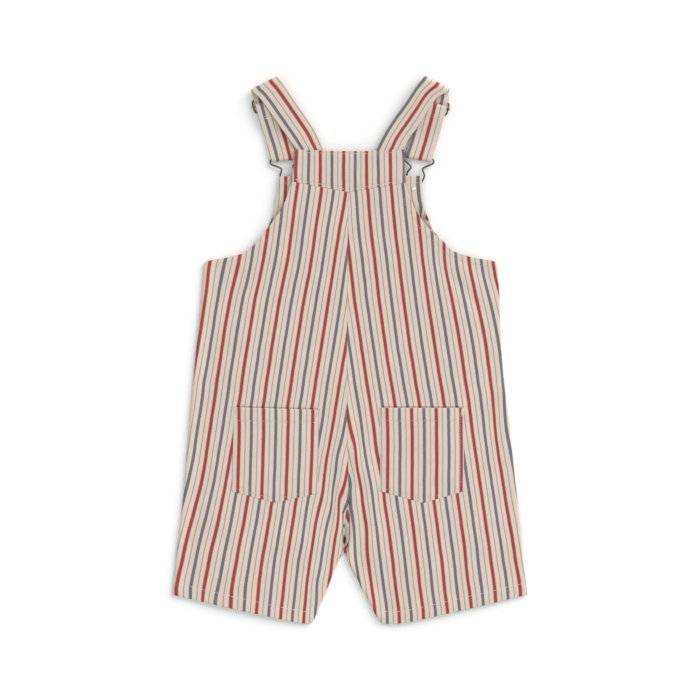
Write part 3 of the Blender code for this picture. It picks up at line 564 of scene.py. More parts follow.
def yoke_surface(P):
    chains = COARSE["yoke"]
    under = back_under(P)
    seam = edge_distance(P, chains, "seam_left", "seam_right")
    top_edge = edge_distance(P, chains, "top")
    sides = edge_distance(P, chains, "left_edge", "right_edge")
    folds = 0.12 * soft_noise(P, 19.0, 21)
    top = under + CLOTH + 0.22 + folds
    top -= 0.24 * band(seam, 2.6, 1.0) + 0.22 * band(top_edge, 2.6, 1.0) + 0.2 * band(sides, 6.0, 1.2)
    top += 0.12 * ease((6.0 - sides) / 1.2) + 0.10 * ease((9.5 - top_edge) / 2.0)
    low = under - 0.75 * ease((11.0 - top_edge) / 4.0)
    top -= 0.28 * (1 - round_over(seam, 0.8))
    top -= 0.22 * (1 - round_over(np.minimum(top_edge, sides), 0.6))
    return top, low


def pocket_surface(P, side):
    chains = COARSE["pocket_" + side]
    base = back_surface(P, side)[0] + 0.07
    mouth = edge_distance(P, chains, "mouth")
    edge = edge_distance(P, chains, "edge")
    puff = ease((edge - 4.0) / 22.0) * (0.35 + 0.35 * ease((30.0 - mouth) / 30.0))
    low = base + puff * 0.8
    top = low + 0.70 + 0.08 * ease((9.0 - edge) / 2.6) + 0.14 * ease((13.8 - mouth) / 2.4) - 0.07 * band(mouth, 12.8, 0.9) - 0.10 * band(edge, 3.4, 1.0)
    top += 0.10 * soft_noise(P, 15.0, 31)
    top += 0.05 * np.sin((P[:, 0] + P[:, 1]) * 2 * math.pi / 5.7) * ease(edge / 1.5) * ease((3.4 - edge) / 1.5)
    # flat seams down the edges, and an open mouth with a fuller edge
    top = base + 0.10 + (top - base - 0.10) * (0.14 * round_over(edge, 0.6) + 0.86 * ease(edge / 8.5))
    top = base + 0.40 + (top - base - 0.40) * round_over(mouth, 0.7)
    return np.maximum(top, base + 0.06), np.minimum(low, base + 0.02 + 0.8 * puff)


STEP = 2.0
COARSE = {}
for _side in ("left", "right"):
    COARSE["back_" + _side] = back_chains(_side, 6.0)
    COARSE["front_" + _side] = front_chains(_side, 6.0)
    COARSE["pocket_" + _side] = pocket_chains(_side, 20.0)
COARSE["yoke"] = yoke_chains(6.0)


# ---------------------------------------------------------------- stripes on a piece
def lay(piece, P):
    """Distance across the stripes in mm (0 on a red one), and along them."""
    first, rows = LAY[piece]
    rows = np.array(rows)
    fine = spline([tuple(r[1:]) + (r[0],) for r in rows], 1.0) if len(rows) > 2 else np.column_stack([rows[:, 1:], rows[:, 0]])
    ys = fine[:, 3]
    red, apart, growth = (np.interp(P[:, 1], ys, fine[:, i]) for i in range(3))
    x = P[:, 0].copy()
    for px, py, half_x, half_y, shift in PULLS.get(piece, ()):
        x -= shift * np.exp(-(((P[:, 0] - px) / half_x) ** 2) - ((P[:, 1] - py) / half_y) ** 2)
    k = (x - red) / apart
    for _ in range(4):
        k = (x - red - growth * k * k) / apart
    return k * REPEAT, P[:, 1].copy()


MARK_CENTRE = {"red": 0.0, "blue": 12.25, "thin": 6.125}
MARK_HALF = {"red": 1.66, "blue": 1.5, "thin": 0.42}


def crotch_lay(P, across):
    """The stripes of the front where its rumpled cloth shows between the legs."""
    best = np.full(len(P), 9.0)
    inner = np.full(len(P), 3.1)
    for kind, x1, y1, half1, x2, y2, half2 in CROTCH_MARKS:
        a, d = np.array((x1, y1)), np.array((x2 - x1, y2 - y1))
        t = np.clip(((P - a) @ d) / (d @ d), 0.0, 1.0)
        off = np.hypot(P[:, 0] - x1 - t * d[0], P[:, 1] - y1 - t * d[1]) / (half1 + (half2 - half1) * t)
        value = MARK_CENTRE[kind] + (-1 if kind == "blue" else 1) * np.minimum(off * MARK_HALF[kind], 3.1)
        inner = np.where(off < np.minimum(best, 3.0), value, inner)
        best = np.minimum(best, off)
    w = ease((crotch_window(P) - 0.02) / 0.08)
    return across * (1 - w) + inner * w


# Where so little light gets into a fold that its cloth looks dark: place, half sizes, depth.
DARK_COLUMNS = ("x", "y", "half_x", "half_y", "darkness")
DARK_FOLDS = [
    (343.9, 540.3, 1.8, 5.0, 1.4), (343.3, 526.3, 1.3, 2.6, 0.95), (342.7, 516.0, 1.1, 7.0, 0.5),
    (346.2, 534.0, 3.2, 14.0, 0.32), (343.2, 549.5, 1.6, 3.8, 0.55), (347.9, 519.0, 1.4, 3.0, 0.4),
    (344.2, 555.0, 1.8, 1.8, 0.4), (342.0, 533.0, 0.9, 14.0, 0.6), (348.8, 536.0, 1.0, 16.0, 0.5),
]
# The same where the front tucks under the back at the right armhole.
TUCK_FOLDS = [(419.6, 209.0, 1.5, 5.0, 0.50), (424.6, 217.6, 2.6, 4.0, 0.55), (430.0, 226.5, 2.2, 4.0, 0.25)]


def fold_shade(P):
    crotch, tuck = np.zeros(len(P)), np.zeros(len(P))
    for total, folds in ((crotch, DARK_FOLDS), (tuck, TUCK_FOLDS)):
        for x, y, half_x, half_y, darkness in folds:
            np.maximum(total, darkness * np.exp(-(((P[:, 0] - x) / half_x) ** 2) - ((P[:, 1] - y) / half_y) ** 2), out=total)
    return np.maximum(np.minimum(crotch, 1.0) * crotch_window(P), tuck)


def crotch_folds(P):
    total = np.zeros(len(P))
    for x, y, half_x, half_y, height in CROTCH_FOLDS:
        total += height * np.exp(-(((P[:, 0] - x) / half_x) ** 2) - ((P[:, 1] - y) / half_y) ** 2)
    return total


# ---------------------------------------------------------------- meshes
def to_frame(P):
    P = np.asarray(P, float)
    return np.column_stack([(P[:, 0] - TABLE_CENTRE[0]) * MM, (TABLE_CENTRE[1] - P[:, 1]) * MM, P[:, 2] * MM])


def add_object(name, verts, faces, material, uv=None, shade=None):
    mesh = bpy.data.meshes.new(name)
    mesh.from_pydata([tuple(v) for v in verts.tolist()], [], faces)
    if uv is not None:
        layer = mesh.uv_layers.new(name="Cut")
        index = np.zeros(len(mesh.loops), np.int32)
        mesh.loops.foreach_get("vertex_index", index)
        layer.data.foreach_set("uv", np.asarray(uv, np.float32)[index].ravel())
    if shade is not None:
        mesh.attributes.new("Painted shade and greying", "FLOAT", "POINT").data.foreach_set("value", np.asarray(shade, np.float32))
    mesh.shade_smooth()
    mesh.update()
    obj = bpy.data.objects.new(name, mesh)
    bpy.context.scene.collection.objects.link(obj)
    mesh.materials.append(material)
    return obj


def offset_line(line, amount, outline):
    """The chain moved amount to the inside of the closed outline."""
    line = np.asarray(line)
    tangent = np.gradient(line, axis=0)
    tangent /= np.maximum(np.linalg.norm(tangent, axis=1, keepdims=True), 1e-9)
    normal = np.column_stack([tangent[:, 1], -tangent[:, 0]])
    middle = len(line) // 2
    if not inside((line[middle] + normal[middle] * 0.5)[None], outline)[0]:
        normal = -normal
    return line + normal * amount


def outline_of(chains):
    points = []
    for _, chain in chains:
        for p in chain:
            if not points or np.hypot(*(points[-1] - p)) > 0.25:
                points.append(np.array(p))
    while np.hypot(*(points[0] - points[-1])) < 0.25:
        points.pop()
    return np.array(points)


def resample(line, step):
    line = np.asarray(line, float)
    lengths = np.concatenate([[0.0], np.cumsum(np.linalg.norm(np.diff(line, axis=0), axis=1))])
    count = max(2, int(lengths[-1] / step))
    s = np.linspace(0, lengths[-1], count + 1)
    return np.column_stack([np.interp(s, lengths, line[:, i]) for i in range(line.shape[1])])


def thin_out(points, gap):
    """Drops points that lie within gap of one already kept."""
    cells, kept = {}, []
    for i, p in enumerate(points):
        key = (int(p[0] // gap), int(p[1] // gap))
        close = False
        for dx in (-1, 0, 1):
            for dy in (-1, 0, 1):
                for j in cells.get((key[0] + dx, key[1] + dy), ()):
                    q = points[j]
                    if (q[0] - p[0]) ** 2 + (q[1] - p[1]) ** 2 < gap * gap:
                        close = True
        if not close:
            cells.setdefault(key, []).append(i)
            kept.append(i)
    return points[kept]


def cloth_shell(name, chains, surface, lay_of, spacing, rows, material, ridges=(), dense=()):
    """A closed thin shell: rim rings for the rounded edge, rows of points along each
    stitch line and each of the ridges, and an even grid between them that is finer in
    the dense boxes."""
    outline = outline_of(chains)
    ring_sets = []
    for amount in (0.12, 0.4, 0.85, 1.5, 2.4):
        for _, chain in chains:
            moved = offset_line(chain, amount, outline)
            good = inside(moved, outline)
            moved = moved[good]
            if len(moved):
                d = distance(moved, np.vstack([outline, outline[:1]]))
                ring_sets.append(moved[d > amount * 0.93])
    line_sets = []
    for kind, depth in rows:
        for n, chain in chains:
            if n != kind:
                continue
            for extra in (-0.9, -0.4, 0.0, 0.4, 0.9):
                moved = offset_line(chain, depth + extra, outline)
                moved = moved[inside(moved, outline)]
                if len(moved):
                    far = distance(moved, np.vstack([outline, outline[:1]]))
                    own = distance(moved, chain)
                    line_sets.append(moved[(far > min(2.6, (depth + extra) * 0.93)) & (own > (depth + extra) * 0.97)])
    closed_outline = np.vstack([outline, outline[:1]])
    for line in ridges:
        for extra in (-1.5, -1.2, -0.8, -0.35, -0.1, 0.1, 0.5, 1.0):
            moved = resample(np.array(line) + (0, extra), 1.6)
            moved = moved[inside(moved, outline)]
            if len(moved):
                line_sets.append(moved[distance(moved, closed_outline) > 0.6])
    for x0, y0, x1, y1, fine in dense:
        xx, yy = np.meshgrid(np.arange(x0, x1, fine), np.arange(y0, y1, fine))
        spot = np.column_stack([xx.ravel() + (yy.ravel() / fine % 2 // 1) * fine / 2, yy.ravel()])
        spot = spot[inside(spot, outline)]
        line_sets.append(spot[distance(spot, closed_outline) > 0.3])
    low, high = outline.min(0), outline.max(0)
    ys = np.arange(low[1] + 0.7, high[1], spacing * 0.866)
    grid = []
    for j, y in enumerate(ys):
        xs = np.arange(low[0] + (0.5 if j % 2 else 0.0) * spacing, high[0], spacing)
        grid.append(np.column_stack([xs, np.full(len(xs), y)]))
    grid = np.vstack(grid)
    grid = grid[inside(grid, outline)]
    d = distance(grid, np.vstack([outline, outline[:1]]))
    keep = d > 2.4 + spacing * 0.55
    for kind, depth in rows:
        keep &= np.abs(edge_distance(grid, chains, kind) - depth) > 0.9 + spacing * 0.5
    for line in ridges:
        keep &= distance(grid, line) > 1.2 + spacing * 0.5
    for x0, y0, x1, y1, _ in dense:
        keep &= ~((grid[:, 0] > x0 - 0.5) & (grid[:, 0] < x1 + 0.5) & (grid[:, 1] > y0 - 0.5) & (grid[:, 1] < y1 + 0.5))
    grid = grid[keep]
    extras = thin_out(np.vstack(ring_sets[::-1] + line_sets), 0.24)
    points = np.vstack([outline, extras, grid])
    count = len(outline)
    edges = [(i, (i + 1) % count) for i in range(count)]
    verts, _, faces, _, _, _ = delaunay_2d_cdt([Vector(p) for p in points.tolist()], edges, [], 1, 1e-5)
    P = np.array([(v.x, v.y) for v in verts])
    top, bottom = surface(P)
    bottom = np.minimum(bottom, top - 0.03)
    across, along = lay_of(P)
    n = len(P)
    upper = to_frame(np.column_stack([P, top]))
    lower = to_frame(np.column_stack([P, bottom]))
    tris = np.array(faces)
    a, b, c = (upper[tris[:, i]] for i in range(3))
    facing = np.cross(b - a, c - a)[:, 2]
    flip = facing < 0
    tris[flip] = tris[flip][:, ::-1]
    edge_count = {}
    for t in tris.tolist():
        for i in range(3):
            edge_count[(t[i], t[(i + 1) % 3])] = True
    rim = [e for e in edge_count if (e[1], e[0]) not in edge_count]
    all_faces = tris.tolist() + (tris[:, ::-1] + n).tolist()
    for p, q in rim:
        all_faces.append([q, p, p + n, q + n])
    uv = np.column_stack([across, along])
    used = np.zeros(2 * n, bool)
    for t in (tris.ravel(), tris.ravel() + n):
        used[t] = True
    index = np.cumsum(used) - 1
    everything = np.vstack([upper, lower])[used]
    all_faces = [[int(index[i]) for i in f] for f in all_faces]
    uv = np.vstack([uv, uv])[used]
    shade = fold_shade(np.vstack([P, P])[used]) if name.startswith("front") else None
    if name.startswith("yoke"):
        shade = np.full(len(everything), 0.025)  # the yoke's cloth a little greyer all over
    return add_object(name, everything, all_faces, material, uv, shade)


# ---------------------------------------------------------------- straps
def strap_runs(side):
    """The sections of a strap every 1.5 mm or so, with the turns between its runs."""
    table, runs, run = STRAPS[side], [], []
    for row in table:
        run.append(row)
        if row[0].endswith("_turn"):
            runs.append(run)
            run = []
    runs.append(run)
    reds = STRAP_RED[side][:4]
    sections, kinds = [], []
    for i, rows in enumerate(runs):
        values = [np.append(np.array(r[1:], float), reds[i]) for r in rows]
        ends = [values[0]] + values + [values[-1]]
        for k in range(1, len(ends) - 2):
            a, b, c, d = ends[k - 1:k + 3]
            count = max(3, round(float(np.linalg.norm((c - b)[:2])) / 1.6))
            for j in range(count):
                t = j / count
                sections.append(0.5 * (2 * b + (c - a) * t + (2 * a - 5 * b + 4 * c - d) * t * t
                                       + (3 * b - a - 3 * c + d) * t ** 3))
                kinds.append(i)
        sections.append(values[-1])
        kinds.append(i)
        if i + 1 < len(runs):
            last, nxt = values[-1], np.append(np.array(runs[i + 1][0][1:], float), reds[i + 1])
            across = last[2:4] - last[:2]
            across = across / np.linalg.norm(across)
            forward = np.array([across[1], -across[0]])
            travel = last[:2] + last[2:4] - values[-2][:2] - values[-2][2:4]
            if forward @ travel < 0:
                forward = -forward
            middle, radius = (last[4] + nxt[4]) / 2, (last[4] - nxt[4]) / 2
            steps = 16
            for k in range(1, steps):
                a = math.pi * k / steps
                plan = last[:4] + (nxt[:4] - last[:4]) * k / steps + np.tile(forward, 2) * abs(radius) * math.sin(a)
                red = last[5] + (nxt[5] - last[5]) * k / steps
                sections.append(np.concatenate([plan, [middle + radius * math.cos(a), red]]))
                kinds.append(i + 0.5)
    return np.array(sections), np.array(kinds)


STRAP_HALF = 0.62
STRAP_ROW = 2.3


def strap_profile(width):
    """Half section of a strap: places across it (mm) and half thickness there."""
    edge = [0.0, 0.06, 0.25, 0.55, 0.95, 1.4, STRAP_ROW - 0.35, STRAP_ROW, STRAP_ROW + 0.35]
    inner = [3.6, 5.5, 8.0, 10.5, width / 2]
    half = edge + inner
    places = half + [width - s for s in reversed(half[:-1])]
    out = []
    for s in places:
        d = min(s, width - s)
        h = STRAP_HALF * float(round_over(np.array([d]), 0.75)[0]) + 0.10 * float(ease(d / 6.0))
        out.append((s, max(h, 0.0)))
    return out


def strap_mesh(side, material):
    sections, kinds = strap_runs(side)
    left = np.column_stack([sections[:, 0:2], sections[:, 4]])
    right = np.column_stack([sections[:, 2:4], sections[:, 4]])
    middle = (left + right) / 2
    along = np.zeros_like(middle)
    along[1:-1] = middle[2:] - middle[:-2]
    along[0], along[-1] = middle[1] - middle[0], middle[-1] - middle[-2]
    across = right - left
    normal = np.cross(across, along)
    normal /= np.linalg.norm(normal, axis=1, keepdims=True)
    length = np.concatenate([[0], np.cumsum(np.linalg.norm(np.diff(middle, axis=0), axis=1))])
    full = 25.6
    profile = strap_profile(full)
    tops = [(s, h) for s, h in profile]
    bottoms = [(s, -h) for s, h in reversed(profile[1:-1])]
    ring = tops + bottoms
    verts, uv = [], []
    for i in range(len(sections)):
        for s, h in ring:
            p = left[i] + across[i] * (s / full) + normal[i] * h
            verts.append(p)
            uv.append((min(s - sections[i, 5], 10.4) if h < 0 else s - STRAP_RED[side][4], length[i]))
    n = len(ring)
    faces = []
    for i in range(len(sections) - 1):
        for k in range(n):
            a, b = i * n + k, i * n + (k + 1) % n
            faces.append([a, b, b + n, a + n])
    faces.append(list(range(n))[::-1])
    last = (len(sections) - 1) * n
    faces.append([last + k for k in range(n)])
    # the strap's cloth a little greyer all over, through the attribute that also carries the painted fold shade
    obj = add_object("strap_cloth_" + side, to_frame(np.array(verts)), faces, material, np.array(uv), np.full(len(verts), 0.02))
    make_normals_face_out(obj)
    return obj, dict(left=left, right=right, across=across, normal=normal, length=length, kinds=kinds, full=full)


def make_normals_face_out(obj):
    import bmesh

    bm = bmesh.new()
    bm.from_mesh(obj.data)
    bmesh.ops.recalc_face_normals(bm, faces=bm.faces)
    bm.to_mesh(obj.data)
    bm.free()


# ---------------------------------------------------------------- stitches
SIDES = 6
STITCH_SHAPE = [(0.0, -0.30, 0.35), (0.08, -0.02, 0.85), (0.30, 0.17, 1.0), (0.70, 0.17, 1.0), (0.92, -0.02, 0.85), (1.0, -0.30, 0.35)]
STITCH_COLUMNS = ("along", "height", "radius")


class Thread:
    """Gathers stitches, and joins them in one mesh."""

    def __init__(self):
        self.verts, self.faces, self.count = [], [], 0

    def stitch(self, a, b, up, radius=0.25, lift=0.0):
        """One stitch from a to b (table mm, with height); up is the way off the cloth."""
        a, b, up = (np.asarray(v, float) for v in (a, b, up))
        t = b - a
        size = np.linalg.norm(t)
        if size < 1e-6:
            return
        t /= size
        up = up - t * (up @ t)
        up /= np.linalg.norm(up)
        side = np.cross(t, up)
        base = len(self.verts) * SIDES
        for along, height, r in STITCH_SHAPE:
            c = a + t * (size * along) + up * (height + lift)
            ring = [c + (up * math.cos(w) * 0.8 + side * math.sin(w)) * (r * radius)
                    for w in (2 * math.pi * k / SIDES for k in range(SIDES))]
            self.verts.append(ring)
        rings = len(STITCH_SHAPE)
        for i in range(rings - 1):
            for k in range(SIDES):
                p, q = base + i * SIDES + k, base + i * SIDES + (k + 1) % SIDES
                self.faces.append([p, q, q + SIDES, p + SIDES])
        self.faces.append([base + k for k in range(SIDES)][::-1])
        self.faces.append([base + (rings - 1) * SIDES + k for k in range(SIDES)])
        self.count += 1

    def row(self, line, ups, pitch=3.0, length=2.35, radius=0.25, start=0.0, lift=0.0):
        """A row of stitches along a line of points with heights."""
        line = np.asarray(line, float)
        ups = np.asarray(ups, float)
        lengths = np.concatenate([[0.0], np.cumsum(np.linalg.norm(np.diff(line, axis=0), axis=1))])
        s = start
        while s + length < lengths[-1]:
            ends = []
            for q in (s, s + length, s + length / 2):
                p = np.array([np.interp(q, lengths, line[:, i]) for i in range(3)])
                u = np.array([np.interp(q, lengths, ups[:, i]) for i in range(3)])
                ends.append((p, u))
            self.stitch(ends[0][0], ends[1][0], ends[2][1], radius, lift)
            s += pitch

    def on_surface(self, plan, surface, **options):
        """A row along a plan line, lying on the upper side of a cloth surface."""
        plan = resample(plan, 1.5)
        e = 0.4
        z = surface(plan)[0]
        zx = surface(plan + (e, 0))[0]
        zy = surface(plan + (0, e))[0]
        ups = np.column_stack([-(zx - z) / e, -(zy - z) / e, np.ones(len(plan))])
        ups[:, :2] = np.clip(ups[:, :2], -0.7, 0.7)
        self.row(np.column_stack([plan, z]), ups, **options)

    def under_surface(self, plan, surface, **options):
        plan = resample(plan, 1.5)
        z = surface(plan)[1]
        ups = np.tile((0.0, 0.0, -1.0), (len(plan), 1))
        self.row(np.column_stack([plan, z]), ups, **options)

    def make(self, name, material):
        verts = to_frame(np.array(self.verts).reshape(-1, 3))
        obj = add_object(name, verts, self.faces, material)
        make_normals_face_out(obj)
        return obj


def trimmed(line, head, tail):
    """The line without head mm at its start and tail mm at its end."""
    line = resample(line, 0.8)
    lengths = np.concatenate([[0.0], np.cumsum(np.linalg.norm(np.diff(line, axis=0), axis=1))])
    return line[(lengths >= head) & (lengths <= lengths[-1] - tail)]


# ---------------------------------------------------------------- materials
class Graph:
    """Short names for the shader nodes used below."""

    def __init__(self, name):
        self.material = bpy.data.materials.new(name)
        self.material.use_nodes = True
        self.tree = self.material.node_tree
        self.shader = self.tree.nodes["Principled BSDF"]

    def new(self, kind):
        return self.tree.nodes.new("ShaderNode" + kind)

    def put(self, socket, value):
        if isinstance(value, bpy.types.NodeSocket):
            self.tree.links.new(value, socket)
        else:
            socket.default_value = value

    def math(self, operation, a, b=None, c=None):
        n = self.new("Math")
        n.operation = operation
        for i, v in enumerate((a, b, c)):
            if v is not None:
                self.put(n.inputs[i], v)
        return n.outputs[0]

    def fit(self, value, low, high, to_low=0.0, to_high=1.0, smooth=True):
        n = self.new("MapRange")
        n.interpolation_type = "SMOOTHSTEP" if smooth else "LINEAR"
        for i, v in enumerate((value, low, high, to_low, to_high)):
            self.put(n.inputs[i], v)
        return n.outputs[0]

    def mix(self, factor, a, b, kind="MIX"):
        n = self.new("Mix")
        n.data_type = "RGBA"
        n.blend_type = kind
        n.clamp_factor = True
        self.put(n.inputs[0], factor)
        self.put(n.inputs[6], a)
        self.put(n.inputs[7], b)
        return n.outputs[2]

    def noise(self, vector, scale, detail=2.0, rough=0.5):
        n = self.new("TexNoise")
        self.put(n.inputs["Vector"], vector)
        n.inputs["Scale"].default_value = scale
        n.inputs["Detail"].default_value = detail
        n.inputs["Roughness"].default_value = rough
        return n.outputs[0]

    def vector(self, x, y, z=0.0):
        n = self.new("CombineXYZ")
        for i, v in enumerate((x, y, z)):
            self.put(n.inputs[i], v)
        return n.outputs[0]

    def bump(self, height, strength, distance, normal=None):
        n = self.new("Bump")
        n.inputs["Strength"].default_value = strength
        n.inputs["Distance"].default_value = distance
        self.put(n.inputs["Height"], height)
        if normal is not None:
            self.put(n.inputs["Normal"], normal)
        return n.outputs[0]


ECRU = (0.692, 0.577, 0.491, 1.0)
RED = (0.331, 0.010, 0.012, 1.0)
BLUE = (0.112, 0.126, 0.155, 1.0)
THIN = (0.275, 0.230, 0.180, 1.0)
THREAD_COLOUR = (0.76, 0.68, 0.60, 1.0)
HALF_RED, HALF_BLUE, HALF_THIN = 1.74, 1.54, 0.47
YARN = 0.46  # mm between two yarns of the plain weave


def striped_canvas():
    """Plain-weave cotton: striped warp along the garment, ecru weft across it."""
    g = Graph("striped_canvas_look")
    uv = g.new("UVMap")
    uv.uv_map = "Cut"
    split = g.new("SeparateXYZ")
    g.put(split.inputs[0], uv.outputs[0])
    across, along = split.outputs[0], split.outputs[1]
    # the stripes waver by a fraction of a yarn
    waver = g.noise(g.vector(g.math("MULTIPLY", across, 0.03), g.math("MULTIPLY", along, 0.045)), 1.0, 2.0)
    fray = g.noise(g.vector(g.math("MULTIPLY", across, 0.4), g.math("MULTIPLY", along, 1.3)), 1.0, 2.0)
    placed = g.math("ADD", across, g.math("MULTIPLY", g.math("SUBTRACT", waver, 0.5), 0.9))
    placed = g.math("ADD", placed, g.math("MULTIPLY", g.math("SUBTRACT", fray, 0.5), 0.30))

    def stripe(middle, period, half, soft):
        offset = g.math("ABSOLUTE", g.math("WRAP", g.math("SUBTRACT", placed, middle), period / 2, -period / 2))
        return g.fit(offset, half - soft, half + soft, 1.0, 0.0)

    red = stripe(0.0, REPEAT, HALF_RED, 0.74)
    blue = stripe(REPEAT / 2, REPEAT, HALF_BLUE, 0.38)
    thin = stripe(REPEAT / 4, REPEAT / 2, HALF_THIN, 0.24)
    # yarns: warp and weft pass over each other in turn
    wave = 2 * math.pi / (2 * YARN)
    warp = g.math("SINE", g.math("MULTIPLY", across, wave))
    weft = g.math("SINE", g.math("MULTIPLY", along, wave))
    over = g.math("MULTIPLY", warp, weft)
    warp_up = g.fit(over, -0.35, 0.35, 0.84, 1.0)
    red_up = g.fit(over, -0.35, 0.35, 0.876, 1.0)
    slub_warp = g.noise(g.vector(g.math("MULTIPLY", across, 1.9), g.math("MULTIPLY", along, 0.07)), 1.0, 3.0, 0.6)
    slub_weft = g.noise(g.vector(g.math("MULTIPLY", across, 0.07), g.math("MULTIPLY", along, 1.9)), 1.0, 3.0, 0.6)
    cloud = g.noise(g.vector(g.math("MULTIPLY", across, 0.035), g.math("MULTIPLY", along, 0.035)), 1.0, 3.0, 0.55)
    ecru = g.mix(g.fit(slub_warp, 0.3, 0.75, 0.0, 0.55), ECRU, (0.592, 0.484, 0.391, 1.0))
    ecru = g.mix(g.fit(slub_weft, 0.3, 0.75, 0.0, 0.45), ecru, (0.765, 0.674, 0.593, 1.0))
    ecru = g.mix(g.fit(cloud, 0.3, 0.7, 0.0, 0.35), ecru, (0.632, 0.529, 0.445, 1.0))
    deep_red = g.mix(g.fit(slub_warp, 0.3, 0.7, 0.0, 0.7), RED, (0.295, 0.012, 0.014, 1.0))
    deep_blue = g.mix(g.fit(slub_warp, 0.3, 0.7, 0.0, 0.7), BLUE, (0.084, 0.098, 0.126, 1.0))
    colour = g.mix(g.math("MULTIPLY", thin, g.math("MULTIPLY", warp_up, g.fit(slub_weft, 0.25, 0.6, 0.75, 1.0))), ecru, THIN)
    colour = g.mix(g.math("MULTIPLY", blue, warp_up), colour, deep_blue)
    colour = g.mix(g.math("MULTIPLY", red, red_up), colour, deep_red)
    # painted shade: the colour goes towards a deep brown where the attribute says so, in the deep folds of the front
    # between the legs and where the front tucks under the back at the right armhole; on the yoke and the straps the
    # same attribute only greys the cloth a little all over
    fold = g.new("Attribute")
    fold.attribute_name = "Painted shade and greying"
    colour = g.mix(fold.outputs["Fac"], colour, (0.028, 0.013, 0.008, 1.0))
    g.put(g.shader.inputs["Base Color"], colour)
    g.shader.inputs["Roughness"].default_value = 0.93
    g.shader.inputs["Specular IOR Level"].default_value = 0.22
    g.shader.inputs["Sheen Weight"].default_value = 0.22
    g.shader.inputs["Sheen Roughness"].default_value = 0.55
    g.shader.inputs["Sheen Tint"].default_value = (1.0, 0.97, 0.92, 1.0)
    crown = g.math("ABSOLUTE", over)
    height = g.math("ADD", g.math("MULTIPLY", crown, 0.6), g.math("MULTIPLY", g.math("ADD", slub_warp, slub_weft), 0.7))
    fine = g.bump(height, 0.55, 0.00016)
    rumple = g.noise(g.vector(g.math("MULTIPLY", across, 0.11), g.math("MULTIPLY", along, 0.10)), 1.0, 3.0, 0.5)
    g.put(g.shader.inputs["Normal"], g.bump(rumple, 0.22, 0.0016, fine))
    return g.material


def thread_material():
    g = Graph("stitch_thread_look")
    where = g.new("TexCoord").outputs["Object"]
    n = g.noise(where, 900.0, 2.0)
    g.put(g.shader.inputs["Base Color"], g.mix(g.fit(n, 0.35, 0.65), THREAD_COLOUR, (0.66, 0.57, 0.48, 1.0)))
    g.shader.inputs["Roughness"].default_value = 0.75
    g.shader.inputs["Sheen Weight"].default_value = 0.2
    g.put(g.shader.inputs["Normal"], g.bump(n, 0.5, 0.00012))
    return g.material


def metal_material(name, colour, dark, roughness, scale):
    g = Graph(name)
    where = g.new("TexCoord").outputs["Object"]
    patina = g.noise(where, scale, 4.0, 0.6)
    fine = g.noise(where, scale * 9, 3.0, 0.6)
    g.put(g.shader.inputs["Base Color"], g.mix(g.fit(patina, 0.35, 0.65), colour, dark))
    g.shader.inputs["Metallic"].default_value = 1.0
    g.put(g.shader.inputs["Roughness"], g.fit(fine, 0.3, 0.7, roughness - 0.08, roughness + 0.12))
    g.put(g.shader.inputs["Normal"], g.bump(fine, 0.25, 0.00008))
    return g.material


canvas = striped_canvas()
thread = thread_material()
brass = metal_material("aged_brass_look", (0.185, 0.145, 0.095, 1.0), (0.105, 0.085, 0.06, 1.0), 0.36, 420.0)
nickel = metal_material("tack_look", (0.86, 0.85, 0.85, 1.0), (0.74, 0.73, 0.73, 1.0), 0.36, 500.0)


# ---------------------------------------------------------------- camera, light and floor
def broad_light(name, way, spread_deg, strength, colour):
    """An even light from far off, as broad as spread_deg, that comes from the way given."""
    data = bpy.data.lights.new(name, "SUN")
    data.angle = math.radians(spread_deg)
    data.energy = strength
    data.color = colour
    obj = bpy.data.objects.new(name, data)
    obj.rotation_euler = Vector(way).to_track_quat("Z", "Y").to_euler()
    bpy.context.scene.collection.objects.link(obj)
    return obj


CAMERA_HEIGHT = 3.0
camera_data = bpy.data.cameras.new("camera")
camera_data.sensor_width = 36.0
camera_data.lens = 36.0 * (CAMERA_HEIGHT - 0.003) / 0.700
camera_data.clip_start, camera_data.clip_end = 0.05, 200.0
camera = bpy.data.objects.new("camera", camera_data)
camera.location = (0.0, 0.0, CAMERA_HEIGHT)
bpy.context.scene.collection.objects.link(camera)
bpy.context.scene.camera = camera

world = bpy.data.worlds.new("studio")
world.use_nodes = True
world.node_tree.nodes["Background"].inputs["Color"].default_value = (0.968, 0.998, 1.0, 1.0)
world.node_tree.nodes["Background"].inputs["Strength"].default_value = 0.80
bpy.context.scene.world = world
broad_light("key_upper_right", (1.25, 1.05, 0.76), 50.0, 2.3, (1.0, 0.931, 0.932))
bpy.context.scene.view_settings.view_transform = "Standard"

floor_graph = Graph("floor_white")
floor_graph.shader.inputs["Base Color"].default_value = (0.965, 0.965, 0.965, 1.0)
floor_graph.shader.inputs["Roughness"].default_value = 0.9
floor_graph.shader.inputs["Specular IOR Level"].default_value = 0.1
floor_mesh = bpy.data.meshes.new("floor")
floor_mesh.from_pydata([(-30, -30, 0), (30, -30, 0), (30, 30, 0), (-30, 30, 0)], [], [(0, 1, 2, 3)])
floor_mesh.materials.append(floor_graph.material)
floor = bpy.data.objects.new("floor", floor_mesh)
floor.location = (0, 0, -0.0003)
bpy.context.scene.collection.objects.link(floor)

# ---------------------------------------------------------------- cloth pieces
SPACING = 2.3
made = []


def cloth_piece(name, node, chains, surface, lay_of, rows, spacing=None, ridges=(), dense=()):
    obj = cloth_shell(name, chains, surface, lay_of, spacing or SPACING, rows, canvas, ridges, dense)
    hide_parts(node)
    made.append(obj)
    return obj


SURFACES = {}
pieces = {}
for side in ("left", "right"):
    SURFACES["back_" + side] = lambda P, s=side: back_surface(P, s)
    SURFACES["front_" + side] = lambda P, s=side: front_surface(P, s)
    SURFACES["pocket_" + side] = lambda P, s=side: pocket_surface(P, s)
SURFACES["yoke"] = yoke_surface

